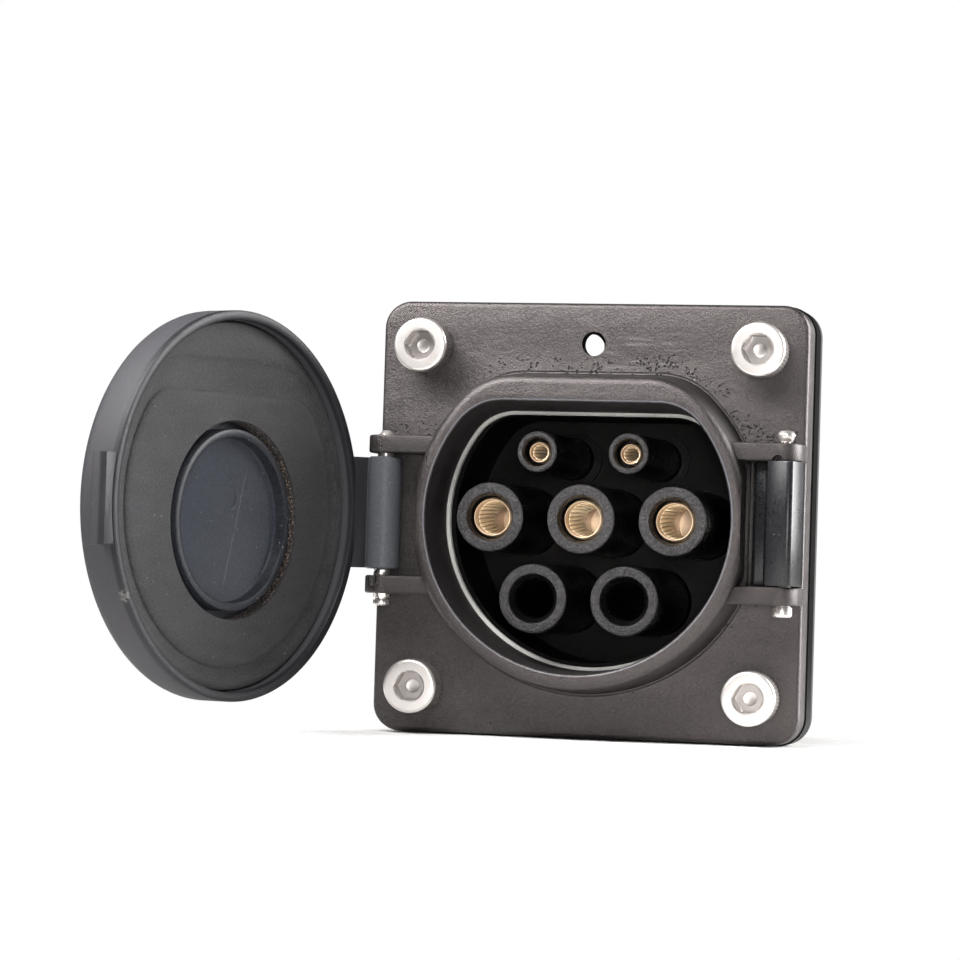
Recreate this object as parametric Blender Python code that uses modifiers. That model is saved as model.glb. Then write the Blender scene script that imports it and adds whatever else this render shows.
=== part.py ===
"""Panel-mounted charging inlet with a sprung lid and latch.

Metres, x to the right, z up, and the front faces -y. "Depth" below is the distance in front of the
panel face at y = 0, so it grows towards the viewer, and what lies behind the panel has a depth under 0.
The lid is modelled closed, under an empty on its hinge line that turns it open.
"""
import math

import bmesh
import bpy

# Fits
seat_gap = 0.0003
pin_clearance = 0.0003
pass_clearance = 0.0003

# Panel stack, from the panel towards the viewer
panel_seal_thickness = 0.0020
rear_flange_thickness = 0.0050
front_plate_thickness = 0.0065
flange_corner = 0.0050
rear_flange_margin = 0.0003
plate_edge_round = 0.0009
screw_edge_margin = 0.0085
flange_hole_radius = 0.00225
flange_hole_margin = 0.0065

# Shroud, a D-shaped collar round the contacts
shroud_height = 0.0110
tower_to_mouth = 0.00485
tower_to_flat = 0.0052
mouth_corner = 0.0100
mouth_round = 0.0005
mouth_draft = 0.0005
collar_wall = 0.0028
collar_top_wall = 0.0049
collar_corner_gain = 0.0030
collar_draft = 0.0014
collar_edge_round = 0.0013
collar_foot_round = 0.0010
collar_side_cut = 0.0010

# Ears and pins
ear_gap = 0.0226
ear_thickness = 0.0033
hinge_ear_end = 0.0031
latch_ear_end = 0.0029
ear_height = 0.0086
ear_edge_round = 0.0004
pin_radius = 0.0015
pin_height = 0.0053
lid_to_hinge = 0.0029
lid_to_latch = 0.0025
lid_open_angle = 111.0

# Shroud gasket and carrier
shroud_seal_thickness = 0.0015
shroud_seal_inset = 0.0011
shroud_bore_depth = 0.0140
shroud_seal_seat = 0.0020
cup_inset = 0.0013
cup_floor_depth = 0.0250
cup_floor_thickness = 0.0040
rear_skirt_length = 0.0150
rear_skirt_wall = 0.0025
floor_boss_margin = 0.0018
floor_boss_height = 0.0008

# Contact towers
tower_protrusion = 0.0070
contact_pitch = 0.0170
signal_height = 0.0121
empty_height = -0.0147
power_tower_wall = 0.00235
power_mouth_chamfer = 0.0008
signal_tower_wall = 0.0012
signal_mouth_chamfer = 0.0001
signal_seat_step = 0.00035
signal_seat_recess = 0.0060
tower_edge_round = 0.0006
sleeve_flange_margin = 0.00125
sleeve_flange_thickness = 0.0015
contact_recess = 0.0020

# Contacts
power_contact_radius = 0.0037
power_contact_wall = 0.00025
power_lip_overhang = 0.0006
signal_contact_radius = 0.00195
signal_contact_wall = 0.00025
signal_lip_overhang = 0.00035
contact_lip_length = 0.0008
socket_depth = 0.0240
contact_collar_margin = 0.0011
wire_bore_depth = 0.0100
power_tail_wall = 0.0011
signal_tail_wall = 0.00085
power_tail_length = 0.0120
signal_tail_length = 0.0090
crown_thickness = 0.00015
crown_length = 0.0130
crown_slot_share = 0.28
power_crown_pinch = 0.00008
signal_crown_pinch = 0.00012
power_crown_strips = 12
signal_crown_strips = 6

# Contact retainer
retainer_thickness = 0.0030
retainer_screw_radius = 0.0015
retainer_screw_head = 0.00275
retainer_screw_head_height = 0.0020
retainer_screw_grip = 0.0040
retainer_cross_width = 0.0007
retainer_cross_span = 0.0033
retainer_cross_depth = 0.0010
retainer_post_radius = 0.0032
retainer_top_inset = 0.0066
retainer_side_inset = 0.0049
retainer_side_angle = -31.0

# Flange screws
screw_radius = 0.0030
screw_length = 0.0250
screw_head_radius = 0.0050
screw_head_height = 0.0060
screw_head_round = 0.0006
screw_hole_radius = 0.0034
hex_across_flats = 0.0050
hex_depth = 0.0030
hex_cone = 0.0014
hex_chamfer = 0.0003

# Lid
lid_overlap = 0.0036
lid_wall = 0.0017
lid_rim_height = 0.0091
lid_plate_thickness = 0.0035
lid_edge_round = 0.0030
foam_margin = 0.0020
foam_thickness = 0.0030
foam_hole_margin = 0.00125
foam_groove_depth = 0.0005
boss_radius = 0.01615
boss_wall = 0.0015
boss_drop = -0.0025
boss_proud = 0.0007
boss_cup_depth = 0.0025
barrel_radius = 0.0031
barrel_low = 0.0101
barrel_high = 0.0106
arm_width = 0.0204
arm_height = 0.0090
lug_reach = 0.0025
lug_length = 0.0158
lug_thickness = 0.0029

# Springs
spring_wire = 0.0005
lid_spring_turns = 5
latch_spring_turns = 4
spring_notch_width = 0.0023
spring_notch_depth = 0.0020
latch_relief_radius = 0.00105
latch_relief_shift = 0.0008

# Latch
latch_length = 0.0222
latch_barrel_radius = 0.0035
latch_window = 0.0100
latch_foot_thickness = 0.0020
hook_thickness = 0.0018
hook_web = 0.0026
thumb_reach = 0.0040
thumb_low = 0.0034
thumb_high = 0.0053

# Facets
bore_steps = 16
pin_steps = 14
barrel_steps = 20
d_arc_steps = 24
d_corner_steps = 5
corner_steps = 4
small_steps = 12
lid_steps = 44
boss_steps = 32

# Sizes that follow from the contacts, outwards to the flange
power_bore_radius = power_contact_radius + pass_clearance
power_mouth_radius = power_bore_radius + power_mouth_chamfer
power_tower_radius = power_bore_radius + power_tower_wall
power_lip_radius = power_contact_radius - power_lip_overhang
power_wire_radius = power_contact_radius - power_tail_wall
signal_seat_radius = signal_contact_radius + pass_clearance
signal_bore_radius = signal_seat_radius + signal_seat_step
signal_mouth_radius = signal_bore_radius + signal_mouth_chamfer
signal_tower_radius = signal_bore_radius + signal_tower_wall
signal_lip_radius = signal_contact_radius - signal_lip_overhang
signal_wire_radius = signal_contact_radius - signal_tail_wall
mouth_radius = contact_pitch + power_tower_radius + tower_to_mouth
mouth_flat = signal_height + signal_tower_radius + tower_to_flat
retainer_top_height = mouth_flat - retainer_top_inset
retainer_side_x = (mouth_radius - retainer_side_inset) * math.cos(math.radians(retainer_side_angle))
retainer_side_height = (mouth_radius - retainer_side_inset) * math.sin(math.radians(retainer_side_angle))
collar_radius = mouth_radius + collar_wall
collar_flat = mouth_flat + collar_top_wall
collar_corner = mouth_corner + collar_corner_gain
collar_side_flat = collar_radius - collar_side_cut
lid_radius = collar_radius + lid_overlap
foam_radius = lid_radius - foam_margin
foam_hole_radius = boss_radius + foam_hole_margin
hinge_x = -lid_radius - lid_to_hinge
latch_x = lid_radius + lid_to_latch
hinge_ear_reach = hinge_ear_end - hinge_x
latch_ear_reach = latch_x + latch_ear_end
flange_side = latch_ear_reach * 2
screw_pitch = flange_side - screw_edge_margin * 2
flange_hole_height = collar_flat + flange_hole_margin

# Derived depths
carrier_back = panel_seal_thickness + seat_gap
carrier_front = carrier_back + rear_flange_thickness
frame_back = carrier_front + seat_gap
face = frame_back + front_plate_thickness
collar_front = face + shroud_height
seal_step = collar_front - shroud_bore_depth
seal_front = seal_step - seat_gap
seal_back = seal_front - shroud_seal_thickness
cup_front = seal_back - seat_gap
floor_front = face - cup_floor_depth
floor_back = floor_front - cup_floor_thickness
skirt_back = floor_back - rear_skirt_length
tower_front = face + tower_protrusion
sleeve_seat = floor_back - seat_gap
sleeve_back = sleeve_seat - sleeve_flange_thickness
retainer_front = sleeve_back - seat_gap
retainer_back = retainer_front - retainer_thickness
pin_depth = face + pin_height
rim_depth = face + lid_rim_height
foam_face = collar_front + seat_gap
foam_back = foam_face + foam_thickness
lid_inside = foam_back + seat_gap
lid_top = lid_inside + lid_plate_thickness
boss_end = foam_face - boss_proud
ear_inner = ear_gap / 2
ear_outer = ear_inner + ear_thickness
cup_rim_outset = shroud_seal_seat
pin_bore_radius = pin_radius + pin_clearance
spring_radius = pin_radius + pin_clearance + spring_wire / 2
spring_pocket_radius = spring_radius + spring_wire / 2 + pass_clearance

part_name = "charging_inlet"


def clear_scene():
    for old in list(bpy.data.objects):
        bpy.data.objects.remove(old, do_unlink=True)


def make_collection(name):
    collection = bpy.data.collections.new(name)
    bpy.context.scene.collection.children.link(collection)
    return collection


def make_material(name, colour, roughness, metallic=0.0):
    material = bpy.data.materials.new(name)
    material.use_nodes = True
    shader = material.node_tree.nodes["Principled BSDF"]
    shader.inputs["Base Color"].default_value = (*colour, 1.0)
    shader.inputs["Roughness"].default_value = roughness
    shader.inputs["Metallic"].default_value = metallic
    material.diffuse_color = (*colour, 1.0)
    return material


def finish_object(obj, material=None, pivot=None):
    """A named part gets its material, and a shape without one becomes a hidden tool."""
    if material is None:
        tools.objects.link(obj)
        obj.hide_render = True
        obj.display_type = "WIRE"
    else:
        parts.objects.link(obj)
        obj.data.materials.append(material)
    if pivot is not None:
        obj.parent = pivot
        obj.location = obj.location - pivot.location
    return obj


def shade_smooth(obj, angle=35.0):
    obj.data.shade_smooth()
    obj.data.set_sharp_from_angle(angle=math.radians(angle))


def turned(name, profile, x=0.0, height=0.0, steps=bore_steps, material=None, pivot=None):
    """Turn a (radius, depth) profile about a line that runs towards the viewer."""
    obj = turned_upright(name, profile, steps)
    obj.location = (x, 0.0, height)
    obj.rotation_euler = (math.pi / 2, 0.0, 0.0)
    return finish_object(obj, material, pivot)


def turned_upright(name, profile, steps):
    mesh = bpy.data.meshes.new(name)
    corners = [(radius, 0.0, level) for radius, level in profile]
    edges = [(index, index + 1) for index in range(len(corners) - 1)]
    if profile[0][0] > 0.0:
        edges.append((len(corners) - 1, 0))
    mesh.from_pydata(corners, edges, [])
    obj = bpy.data.objects.new(name, mesh)
    screw = obj.modifiers.new("Turn", "SCREW")
    screw.axis = "Z"
    screw.angle = 2 * math.pi
    screw.steps = steps
    screw.render_steps = steps
    screw.use_merge_vertices = True
    screw.merge_threshold = 0.00001
    screw.use_smooth_shade = True
    return obj


def pin_shape(name, profile, x, steps=pin_steps, material=None, pivot=None):
    """Turn a (radius, height) profile about an upright pin line."""
    obj = turned_upright(name, profile, steps)
    obj.location = (x, -pin_depth, 0.0)
    return finish_object(obj, material, pivot)


def pin_round(name, radius, low, high, x, steps=bore_steps, pivot=None):
    """A round tool about an upright pin line, for a bore, a pocket or a barrel."""
    profile = [(0.0, high), (radius, high), (radius, low), (0.0, low)]
    return pin_shape(name, profile, x, steps, None, pivot)


def extruded(name, outline, low, high, upright=False, material=None, pivot=None):
    """A flat outline with thickness: facing the viewer, or lying flat when upright is set."""
    curve = bpy.data.curves.new(name, "CURVE")
    curve.dimensions = "2D"
    curve.fill_mode = "BOTH"
    curve.extrude = (high - low) / 2
    spline = curve.splines.new("POLY")
    spline.points.add(len(outline) - 1)
    for point, (across, along) in zip(spline.points, outline):
        point.co = (across, along, 0.0, 1.0)
    spline.use_cyclic_u = True
    drawn = bpy.data.objects.new(name, curve)
    bpy.context.scene.collection.objects.link(drawn)
    bpy.context.view_layer.update()
    mesh = bpy.data.meshes.new_from_object(drawn.evaluated_get(bpy.context.evaluated_depsgraph_get()))
    bpy.data.objects.remove(drawn, do_unlink=True)
    bpy.data.curves.remove(curve)
    shape = bmesh.new()
    shape.from_mesh(mesh)
    bmesh.ops.remove_doubles(shape, verts=shape.verts, dist=0.000001)
    bmesh.ops.recalc_face_normals(shape, faces=shape.faces)
    shape.to_mesh(mesh)
    shape.free()
    mesh.name = name
    obj = bpy.data.objects.new(name, mesh)
    middle = (low + high) / 2
    if upright:
        obj.location = (0.0, 0.0, middle)
    else:
        obj.location = (0.0, -middle, 0.0)
        obj.rotation_euler = (math.pi / 2, 0.0, 0.0)
    return finish_object(obj, material, pivot)


def loft(name, rings, material=None, pivot=None):
    """Skin outlines of equal point counts, given as (outline, depth) from the back to the front."""
    shape = bmesh.new()
    loops = []
    for outline, depth in rings:
        loops.append([shape.verts.new((across, along, depth)) for across, along in outline])
    count = len(loops[0])
    for lower, upper in zip(loops, loops[1:]):
        for index in range(count):
            following = (index + 1) % count
            shape.faces.new((lower[index], lower[following], upper[following], upper[index]))
    shape.faces.new(list(reversed(loops[0])))
    shape.faces.new(loops[-1])
    bmesh.ops.recalc_face_normals(shape, faces=shape.faces)
    mesh = bpy.data.meshes.new(name)
    shape.to_mesh(mesh)
    shape.free()
    obj = bpy.data.objects.new(name, mesh)
    obj.rotation_euler = (math.pi / 2, 0.0, 0.0)
    return finish_object(obj, material, pivot)


def wire(name, route, radius, material, pivot=None):
    """A bent wire along a list of points, made a mesh so that its ends are closed."""
    curve = bpy.data.curves.new(name, "CURVE")
    curve.dimensions = "3D"
    curve.bevel_depth = radius
    curve.bevel_resolution = 1
    curve.use_fill_caps = True
    spline = curve.splines.new("POLY")
    spline.points.add(len(route) - 1)
    for point, place in zip(spline.points, route):
        point.co = (*place, 1.0)
    drawn = bpy.data.objects.new(name, curve)
    bpy.context.scene.collection.objects.link(drawn)
    bpy.context.view_layer.update()
    mesh = bpy.data.meshes.new_from_object(drawn.evaluated_get(bpy.context.evaluated_depsgraph_get()))
    bpy.data.objects.remove(drawn, do_unlink=True)
    bpy.data.curves.remove(curve)
    shape = bmesh.new()
    shape.from_mesh(mesh)
    bmesh.ops.remove_doubles(shape, verts=shape.verts, dist=0.000001)
    bmesh.ops.recalc_face_normals(shape, faces=shape.faces)
    shape.to_mesh(mesh)
    shape.free()
    mesh.name = name
    obj = bpy.data.objects.new(name, mesh)
    shade_smooth(obj, 60.0)
    return finish_object(obj, material, pivot)


def combine(target, operation, *operands):
    for operand in operands:
        modifier = target.modifiers.new(operand.name, "BOOLEAN")
        modifier.operation = operation
        modifier.solver = "EXACT"
        modifier.object = operand


def join_solid(target, *operands):
    combine(target, "UNION", *operands)


def cut_away(target, *operands):
    combine(target, "DIFFERENCE", *operands)


def soften(obj, width, segments=2):
    bevel = obj.modifiers.new("Soft edges", "BEVEL")
    bevel.width = width
    bevel.segments = segments
    bevel.limit_method = "ANGLE"
    bevel.angle_limit = math.radians(40.0)
    return obj


def arc(centre, radius, start, stop, steps):
    """Points on an arc, angles in degrees, both ends included."""
    points = []
    for index in range(steps + 1):
        angle = math.radians(start + (stop - start) * index / steps)
        points.append((centre[0] + radius * math.cos(angle), centre[1] + radius * math.sin(angle)))
    return points


def square_outline(inset=0.0):
    half = flange_side / 2 - inset
    corner = flange_corner - inset
    middle = half - corner
    outline = []
    for turn, (side_x, side_z) in enumerate(((1, 1), (-1, 1), (-1, -1), (1, -1))):
        start = 90.0 * turn
        outline += arc((side_x * middle, side_z * middle), corner, start, start + 90.0, corner_steps)
    return outline


def d_outline(radius, flat, corner):
    """A circle with a flat on top whose two corners are rounded."""
    reach = math.sqrt((radius - corner) ** 2 - (flat - corner) ** 2)
    rise = flat - corner
    lean = math.degrees(math.atan2(rise, reach))
    right = arc((reach, rise), corner, lean, 90.0, d_corner_steps)
    left = arc((-reach, rise), corner, 90.0, 180.0 - lean, d_corner_steps)
    round_part = arc((0.0, 0.0), radius, 180.0 - lean, 360.0 + lean, d_arc_steps)
    return right + left + round_part[1:-1]


def mouth_outline(outset=0.0):
    return d_outline(mouth_radius + outset, mouth_flat + outset, mouth_corner + outset)


def collar_outline(outset=0.0):
    return d_outline(collar_radius + outset, collar_flat + outset, collar_corner + outset)


def screw_places():
    half = screw_pitch / 2
    return [(-half, half), (half, half), (-half, -half), (half, -half)]


def drill(name, places, radius, low, high, steps=bore_steps):
    """One tool made of a row of equal round cutters that face the viewer."""
    shape = bmesh.new()
    for x, height in places:
        made = bmesh.ops.create_cone(
            shape, cap_ends=True, segments=steps, radius1=radius, radius2=radius, depth=high - low)
        bmesh.ops.translate(shape, verts=made["verts"], vec=(x, height, (low + high) / 2))
    mesh = bpy.data.meshes.new(name)
    shape.to_mesh(mesh)
    shape.free()
    obj = bpy.data.objects.new(name, mesh)
    obj.rotation_euler = (math.pi / 2, 0.0, 0.0)
    return finish_object(obj)


def block(name, x_range, depth_range, height_range, pivot=None):
    shape = bmesh.new()
    bmesh.ops.create_cube(shape, size=1.0)
    size = (x_range[1] - x_range[0], depth_range[1] - depth_range[0], height_range[1] - height_range[0])
    centre = (sum(x_range) / 2, -sum(depth_range) / 2, sum(height_range) / 2)
    bmesh.ops.scale(shape, verts=shape.verts, vec=size)
    mesh = bpy.data.meshes.new(name)
    shape.to_mesh(mesh)
    shape.free()
    obj = bpy.data.objects.new(name, mesh)
    obj.location = centre
    return finish_object(obj, pivot=pivot)


def rounded_edge(radius, steps=3):
    """(inset, rise) pairs that round an outline over, starting on the wall."""
    pairs = []
    for index in range(steps + 1):
        angle = math.pi / 2 * index / steps
        pairs.append((radius * (1 - math.cos(angle)), radius * math.sin(angle)))
    return pairs


# Front frame


def make_ear(side, level):
    """One ear, rounded over at its free corner, from inside the collar to its full reach."""
    top = face + ear_height
    corner = top - pin_depth
    inner = collar_radius * 0.7
    reach = hinge_ear_reach if side < 0 else latch_ear_reach
    outer = reach - corner
    root = face - front_plate_thickness / 3
    step = max(reach - flange_side / 2, 0.0)
    outline = [(inner, -root), (reach - step * 2, -root), (reach, -face - step * 2)]
    outline += [(x, -depth) for x, depth in arc((outer, pin_depth), corner, 0.0, 90.0, 6)]
    outline.append((inner, -top))
    outline = [(side * x, y) for x, y in outline]
    low = level - ear_thickness / 2
    ear = extruded(f"ear_{side}_{round(level * 1e4)}", outline, low, low + ear_thickness, upright=True)
    return soften(ear, ear_edge_round, 1)


def make_front_frame(material):
    rings = [(square_outline(), frame_back)]
    edge_start = face - plate_edge_round
    rings += [(square_outline(inset), edge_start + rise) for inset, rise in rounded_edge(plate_edge_round)]
    frame = loft("front_frame", rings, material)
    root = face - front_plate_thickness / 2
    collar_rings = [(collar_outline(collar_draft + collar_foot_round), root)]
    for inset, rise in reversed(rounded_edge(collar_foot_round, 2)):
        flare = collar_draft + inset
        collar_rings.append((collar_outline(flare), face + collar_foot_round - rise))
    top = collar_front - collar_edge_round
    for inset, rise in rounded_edge(collar_edge_round, 3):
        collar_rings.append((collar_outline(-inset), top + rise))
    join_solid(frame, loft("collar_body", collar_rings))
    middle = ear_inner + ear_thickness / 2
    join_solid(frame, *[make_ear(side, level) for side in (-1, 1) for level in (-middle, middle)])
    mouth_rings = [(mouth_outline(-mouth_draft), 0.0)]
    mouth_rings.append((mouth_outline(-mouth_draft), seal_step))
    mouth_top = collar_front - mouth_round
    mouth_rings += [(mouth_outline(inset), mouth_top + rise) for inset, rise in rounded_edge(mouth_round, 2)]
    mouth_rings.append((mouth_outline(mouth_round), collar_front + mouth_round * 2))
    cut_away(frame, loft("mouth_cut", mouth_rings))
    seat = mouth_outline(cup_rim_outset)
    cut_away(frame, loft("seal_seat_cut", [(seat, 0.0), (seat, seal_step)]))
    cut_away(frame, drill("frame_screw_holes", screw_places(), screw_hole_radius, 0.0, face * 2,
                          small_steps))
    cut_away(frame, drill("frame_hole", [(0.0, flange_hole_height)], flange_hole_radius, 0.0, face * 2))
    for side in (-1, 1):
        reach = sorted((side * collar_side_flat, side * collar_radius * 1.5))
        levels = (-ear_inner, ear_inner)
        cut_away(frame, block(f"side_flat_{side}", reach, (face, collar_front * 2), levels))
    full = ear_outer * 2
    cut_away(frame, pin_round("hinge_pin_bore", pin_bore_radius, -full, full, hinge_x),
             pin_round("latch_pin_bore", pin_bore_radius, -full, full, latch_x))
    notch_x = (hinge_x - spring_notch_width * 0.8, hinge_x + spring_notch_width * 0.2)
    notch_low = pin_depth + pin_bore_radius + pass_clearance / 2
    notch = block("spring_notch", notch_x, (notch_low, collar_front * 2),
                  (-ear_inner - spring_notch_depth, -ear_inner + ear_thickness))
    cut_away(frame, notch)
    relief_low = face + ear_height - spring_notch_depth
    cut_away(frame, drill("latch_relief", [(latch_x - latch_relief_shift, ear_inner)], latch_relief_radius,
                          relief_low, collar_front * 2, small_steps))
    shade_smooth(frame)
    return frame


# Seals


def make_shroud_gasket(material):
    outer = mouth_outline(cup_rim_outset - seat_gap)
    ring = loft("shroud_gasket", [(outer, seal_back), (outer, seal_front)], material)
    inner = mouth_outline(-mouth_draft - shroud_seal_inset)
    cut_away(ring, loft("shroud_gasket_hole", [(inner, 0.0), (inner, collar_front)]))


def make_panel_gasket(material):
    outline = square_outline(-rear_flange_margin)
    sheet = loft("panel_gasket", [(outline, 0.0), (outline, panel_seal_thickness)], material)
    opening = mouth_outline(cup_rim_outset)
    cut_away(sheet, loft("panel_gasket_hole", [(opening, -face), (opening, face)]))
    cut_away(sheet, drill("gasket_screw_holes", screw_places(), screw_hole_radius, -face, face, small_steps))
    cut_away(sheet, drill("gasket_hole", [(0.0, flange_hole_height)], flange_hole_radius, -face, face))


# Contact carrier


def tower_places():
    half = contact_pitch / 2
    power = [("live", -contact_pitch, 0.0), ("earth", 0.0, 0.0), ("neutral", contact_pitch, 0.0)]
    signal = [("left", -half, signal_height), ("right", half, signal_height)]
    empty = [("left", -half, empty_height), ("right", half, empty_height)]
    return power, signal, empty


def retainer_screw_places():
    return [(0.0, retainer_top_height), (-retainer_side_x, retainer_side_height),
            (retainer_side_x, retainer_side_height)]


def make_carrier(material):
    outline = square_outline(-rear_flange_margin)
    carrier = loft("contact_carrier", [(outline, carrier_back), (outline, carrier_front)], material)
    outer = mouth_outline(cup_rim_outset - seat_gap)
    join_solid(carrier, loft("cup_body", [(outer, skirt_back), (outer, cup_front)]))
    inner = mouth_outline(-cup_inset - mouth_draft)
    cut_away(carrier, loft("cup_hollow", [(inner, floor_front), (inner, collar_front)]))
    rear = mouth_outline(cup_rim_outset - seat_gap - rear_skirt_wall)
    cut_away(carrier, loft("rear_hollow", [(rear, skirt_back * 2), (rear, floor_back)]))
    power, signal, empty = tower_places()
    large = [(x, height) for name, x, height in power + empty]
    small = [(x, height) for name, x, height in signal]
    boss_top = floor_front + floor_boss_height
    middle = (floor_front + floor_back) / 2
    join_solid(carrier, drill("small_floor_bosses", small, signal_tower_radius + floor_boss_margin,
                              middle, boss_top))
    join_solid(carrier, drill("retainer_posts", retainer_screw_places(), retainer_post_radius,
                              sleeve_back, middle, small_steps))
    cut_away(carrier, drill("large_floor_holes", large, power_tower_radius + pass_clearance,
                            floor_back * 2, face))
    cut_away(carrier, drill("small_floor_holes", small, signal_tower_radius + pass_clearance,
                            floor_back * 2, face))
    tip = retainer_front + retainer_screw_grip
    cut_away(carrier, drill("post_holes", retainer_screw_places(), retainer_screw_radius + pass_clearance,
                            floor_back * 2, tip + seat_gap, small_steps))
    cut_away(carrier, drill("carrier_screw_holes", screw_places(), screw_hole_radius, 0.0, face, small_steps))
    cut_away(carrier, drill("carrier_hole", [(0.0, flange_hole_height)], flange_hole_radius, 0.0, face))
    shade_smooth(carrier)


def make_sleeve(name, x, height, radius, bore, mouth, seat, seat_recess, material):
    """One tower: a tube with a rounded nose, and a foot that is trapped behind the floor."""
    foot = radius + sleeve_flange_margin
    nose = tower_edge_round
    chamfer = mouth - bore
    collar = seat + contact_collar_margin + pass_clearance
    shoulder = sleeve_back + sleeve_flange_thickness / 2 + seat_gap * 2
    profile = [(radius - nose, tower_front), (radius - nose * 0.3, tower_front - nose * 0.3)]
    profile.append((radius, tower_front - nose))
    profile += [(radius, sleeve_seat), (foot, sleeve_seat), (foot, sleeve_back)]
    profile += [(collar, sleeve_back), (collar, shoulder)]
    if seat < bore:
        ledge = tower_front - seat_recess
        profile += [(seat, shoulder), (seat, ledge), (bore, ledge)]
    else:
        profile.append((bore, shoulder))
    profile += [(bore, tower_front - chamfer), (mouth, tower_front)]
    turned(name, profile, x, height, bore_steps, material)


def make_sleeves(material):
    power, signal, empty = tower_places()
    for label, x, height in power:
        make_sleeve(f"power_sleeve_{label}", x, height, power_tower_radius, power_bore_radius,
                    power_mouth_radius, power_bore_radius, 0.0, material)
    for label, x, height in signal:
        make_sleeve(f"signal_sleeve_{label}", x, height, signal_tower_radius, signal_bore_radius,
                    signal_mouth_radius, signal_seat_radius, signal_seat_recess, material)
    for label, x, height in empty:
        make_sleeve(f"spare_sleeve_{label}", x, height, power_tower_radius, power_bore_radius,
                    power_mouth_radius, power_bore_radius, 0.0, material)


# Contacts


def make_contact(name, x, height, radius, wall, lip, seat, tail, wire_radius, steps, material):
    """A turned socket: thin front lip, wide spring chamber, solid middle, collar, and a wire bore."""
    front = tower_front - contact_recess
    chamber = radius - wall
    floor = front - socket_depth
    collar = seat - pass_clearance + contact_collar_margin
    collar_front_depth = sleeve_back + sleeve_flange_thickness / 2 + seat_gap
    back = retainer_back - tail
    outer = [(radius, front), (radius, collar_front_depth), (collar, collar_front_depth)]
    outer += [(collar, sleeve_back), (radius, sleeve_back), (radius, back), (wire_radius, back)]
    outer += [(wire_radius, back + wire_bore_depth), (0.0, back + wire_bore_depth)]
    inner = [(0.0, floor), (chamber, floor), (chamber, front - contact_lip_length)]
    inner += [(lip, front - contact_lip_length), (lip, front)]
    turned(name, inner + outer, x, height, steps, material)


def make_crown(name, x, height, radius, pinch, strips, material):
    """A slotted sleeve spring, waisted in the middle: a turned grid with its slots taken out."""
    front = tower_front - contact_recess - contact_lip_length - seat_gap
    rows = 4
    columns = strips * 2
    shape = bmesh.new()
    grid = []
    for row in range(rows + 1):
        share = row / rows
        waist = pinch * (1 - (2 * share - 1) ** 2)
        level = front - crown_length * share
        ring = []
        for column in range(columns):
            narrowed = crown_slot_share if column % 2 else 0.0
            angle = 2 * math.pi * (column - narrowed) / columns
            across = (radius - waist) * math.cos(angle)
            ring.append(shape.verts.new((across, (radius - waist) * math.sin(angle), level)))
        grid.append(ring)
    for row in range(rows):
        for column in range(columns):
            if 0 < row < rows - 1 and column % 2:
                continue
            following = (column + 1) % columns
            shape.faces.new((grid[row][column], grid[row + 1][column],
                             grid[row + 1][following], grid[row][following]))
    bmesh.ops.recalc_face_normals(shape, faces=shape.faces)
    mesh = bpy.data.meshes.new(name)
    shape.to_mesh(mesh)
    shape.free()
    obj = bpy.data.objects.new(name, mesh)
    obj.location = (x, 0.0, height)
    obj.rotation_euler = (math.pi / 2, 0.0, 0.0)
    thick = obj.modifiers.new("Strip thickness", "SOLIDIFY")
    thick.thickness = crown_thickness
    thick.offset = 0.0
    finish_object(obj, material)
    shade_smooth(obj, 50.0)


def make_contacts(brass, strip):
    power, signal, empty = tower_places()
    for label, x, height in power:
        make_contact(f"power_contact_{label}", x, height, power_contact_radius, power_contact_wall,
                     power_lip_radius, power_bore_radius, power_tail_length, power_wire_radius,
                     bore_steps, brass)
        radius = power_contact_radius - power_contact_wall - pass_clearance - crown_thickness / 2
        make_crown(f"power_crown_{label}", x, height, radius, power_crown_pinch, power_crown_strips, strip)
    for label, x, height in signal:
        make_contact(f"signal_contact_{label}", x, height, signal_contact_radius, signal_contact_wall,
                     signal_lip_radius, signal_seat_radius, signal_tail_length, signal_wire_radius,
                     small_steps, brass)
        radius = signal_contact_radius - signal_contact_wall - pass_clearance - crown_thickness / 2
        make_crown(f"signal_crown_{label}", x, height, radius, signal_crown_pinch, signal_crown_strips, strip)


def make_retainer(material):
    outline = mouth_outline(cup_rim_outset - seat_gap - rear_skirt_wall - pass_clearance)
    plate = loft("contact_retainer", [(outline, retainer_back), (outline, retainer_front)], material)
    power, signal, empty = tower_places()
    large = [(x, height) for name, x, height in power]
    small = [(x, height) for name, x, height in signal]
    cut_away(plate, drill("retainer_power_holes", large, power_contact_radius + pass_clearance,
                          retainer_back * 2, 0.0))
    cut_away(plate, drill("retainer_signal_holes", small, signal_contact_radius + pass_clearance,
                          retainer_back * 2, 0.0, small_steps))
    cut_away(plate, drill("retainer_screw_holes", retainer_screw_places(),
                          retainer_screw_radius + pass_clearance, retainer_back * 2, 0.0, small_steps))


def make_retainer_screw(name, x, height, material):
    """A pan-head screw with a cross recess, driven from behind into a post of the carrier."""
    top = retainer_back - seat_gap
    back = top - retainer_screw_head_height
    tip = retainer_front + retainer_screw_grip
    head = retainer_screw_head
    profile = [(0.0, tip), (retainer_screw_radius, tip), (retainer_screw_radius, top), (head, top)]
    profile += [(head, back + head * 0.3), (head * 0.75, back), (0.0, back)]
    screw = turned(name, profile, x, height, small_steps, material)
    blade = retainer_cross_width / 2
    span = retainer_cross_span / 2
    depths = (back - blade, back + retainer_cross_depth)
    lying = block(f"{name}_slot", (x - span, x + span), depths, (height - blade, height + blade))
    standing = block(f"{name}_cross", (x - blade, x + blade), depths, (height - span, height + span))
    cut_away(screw, lying, standing)


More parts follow.
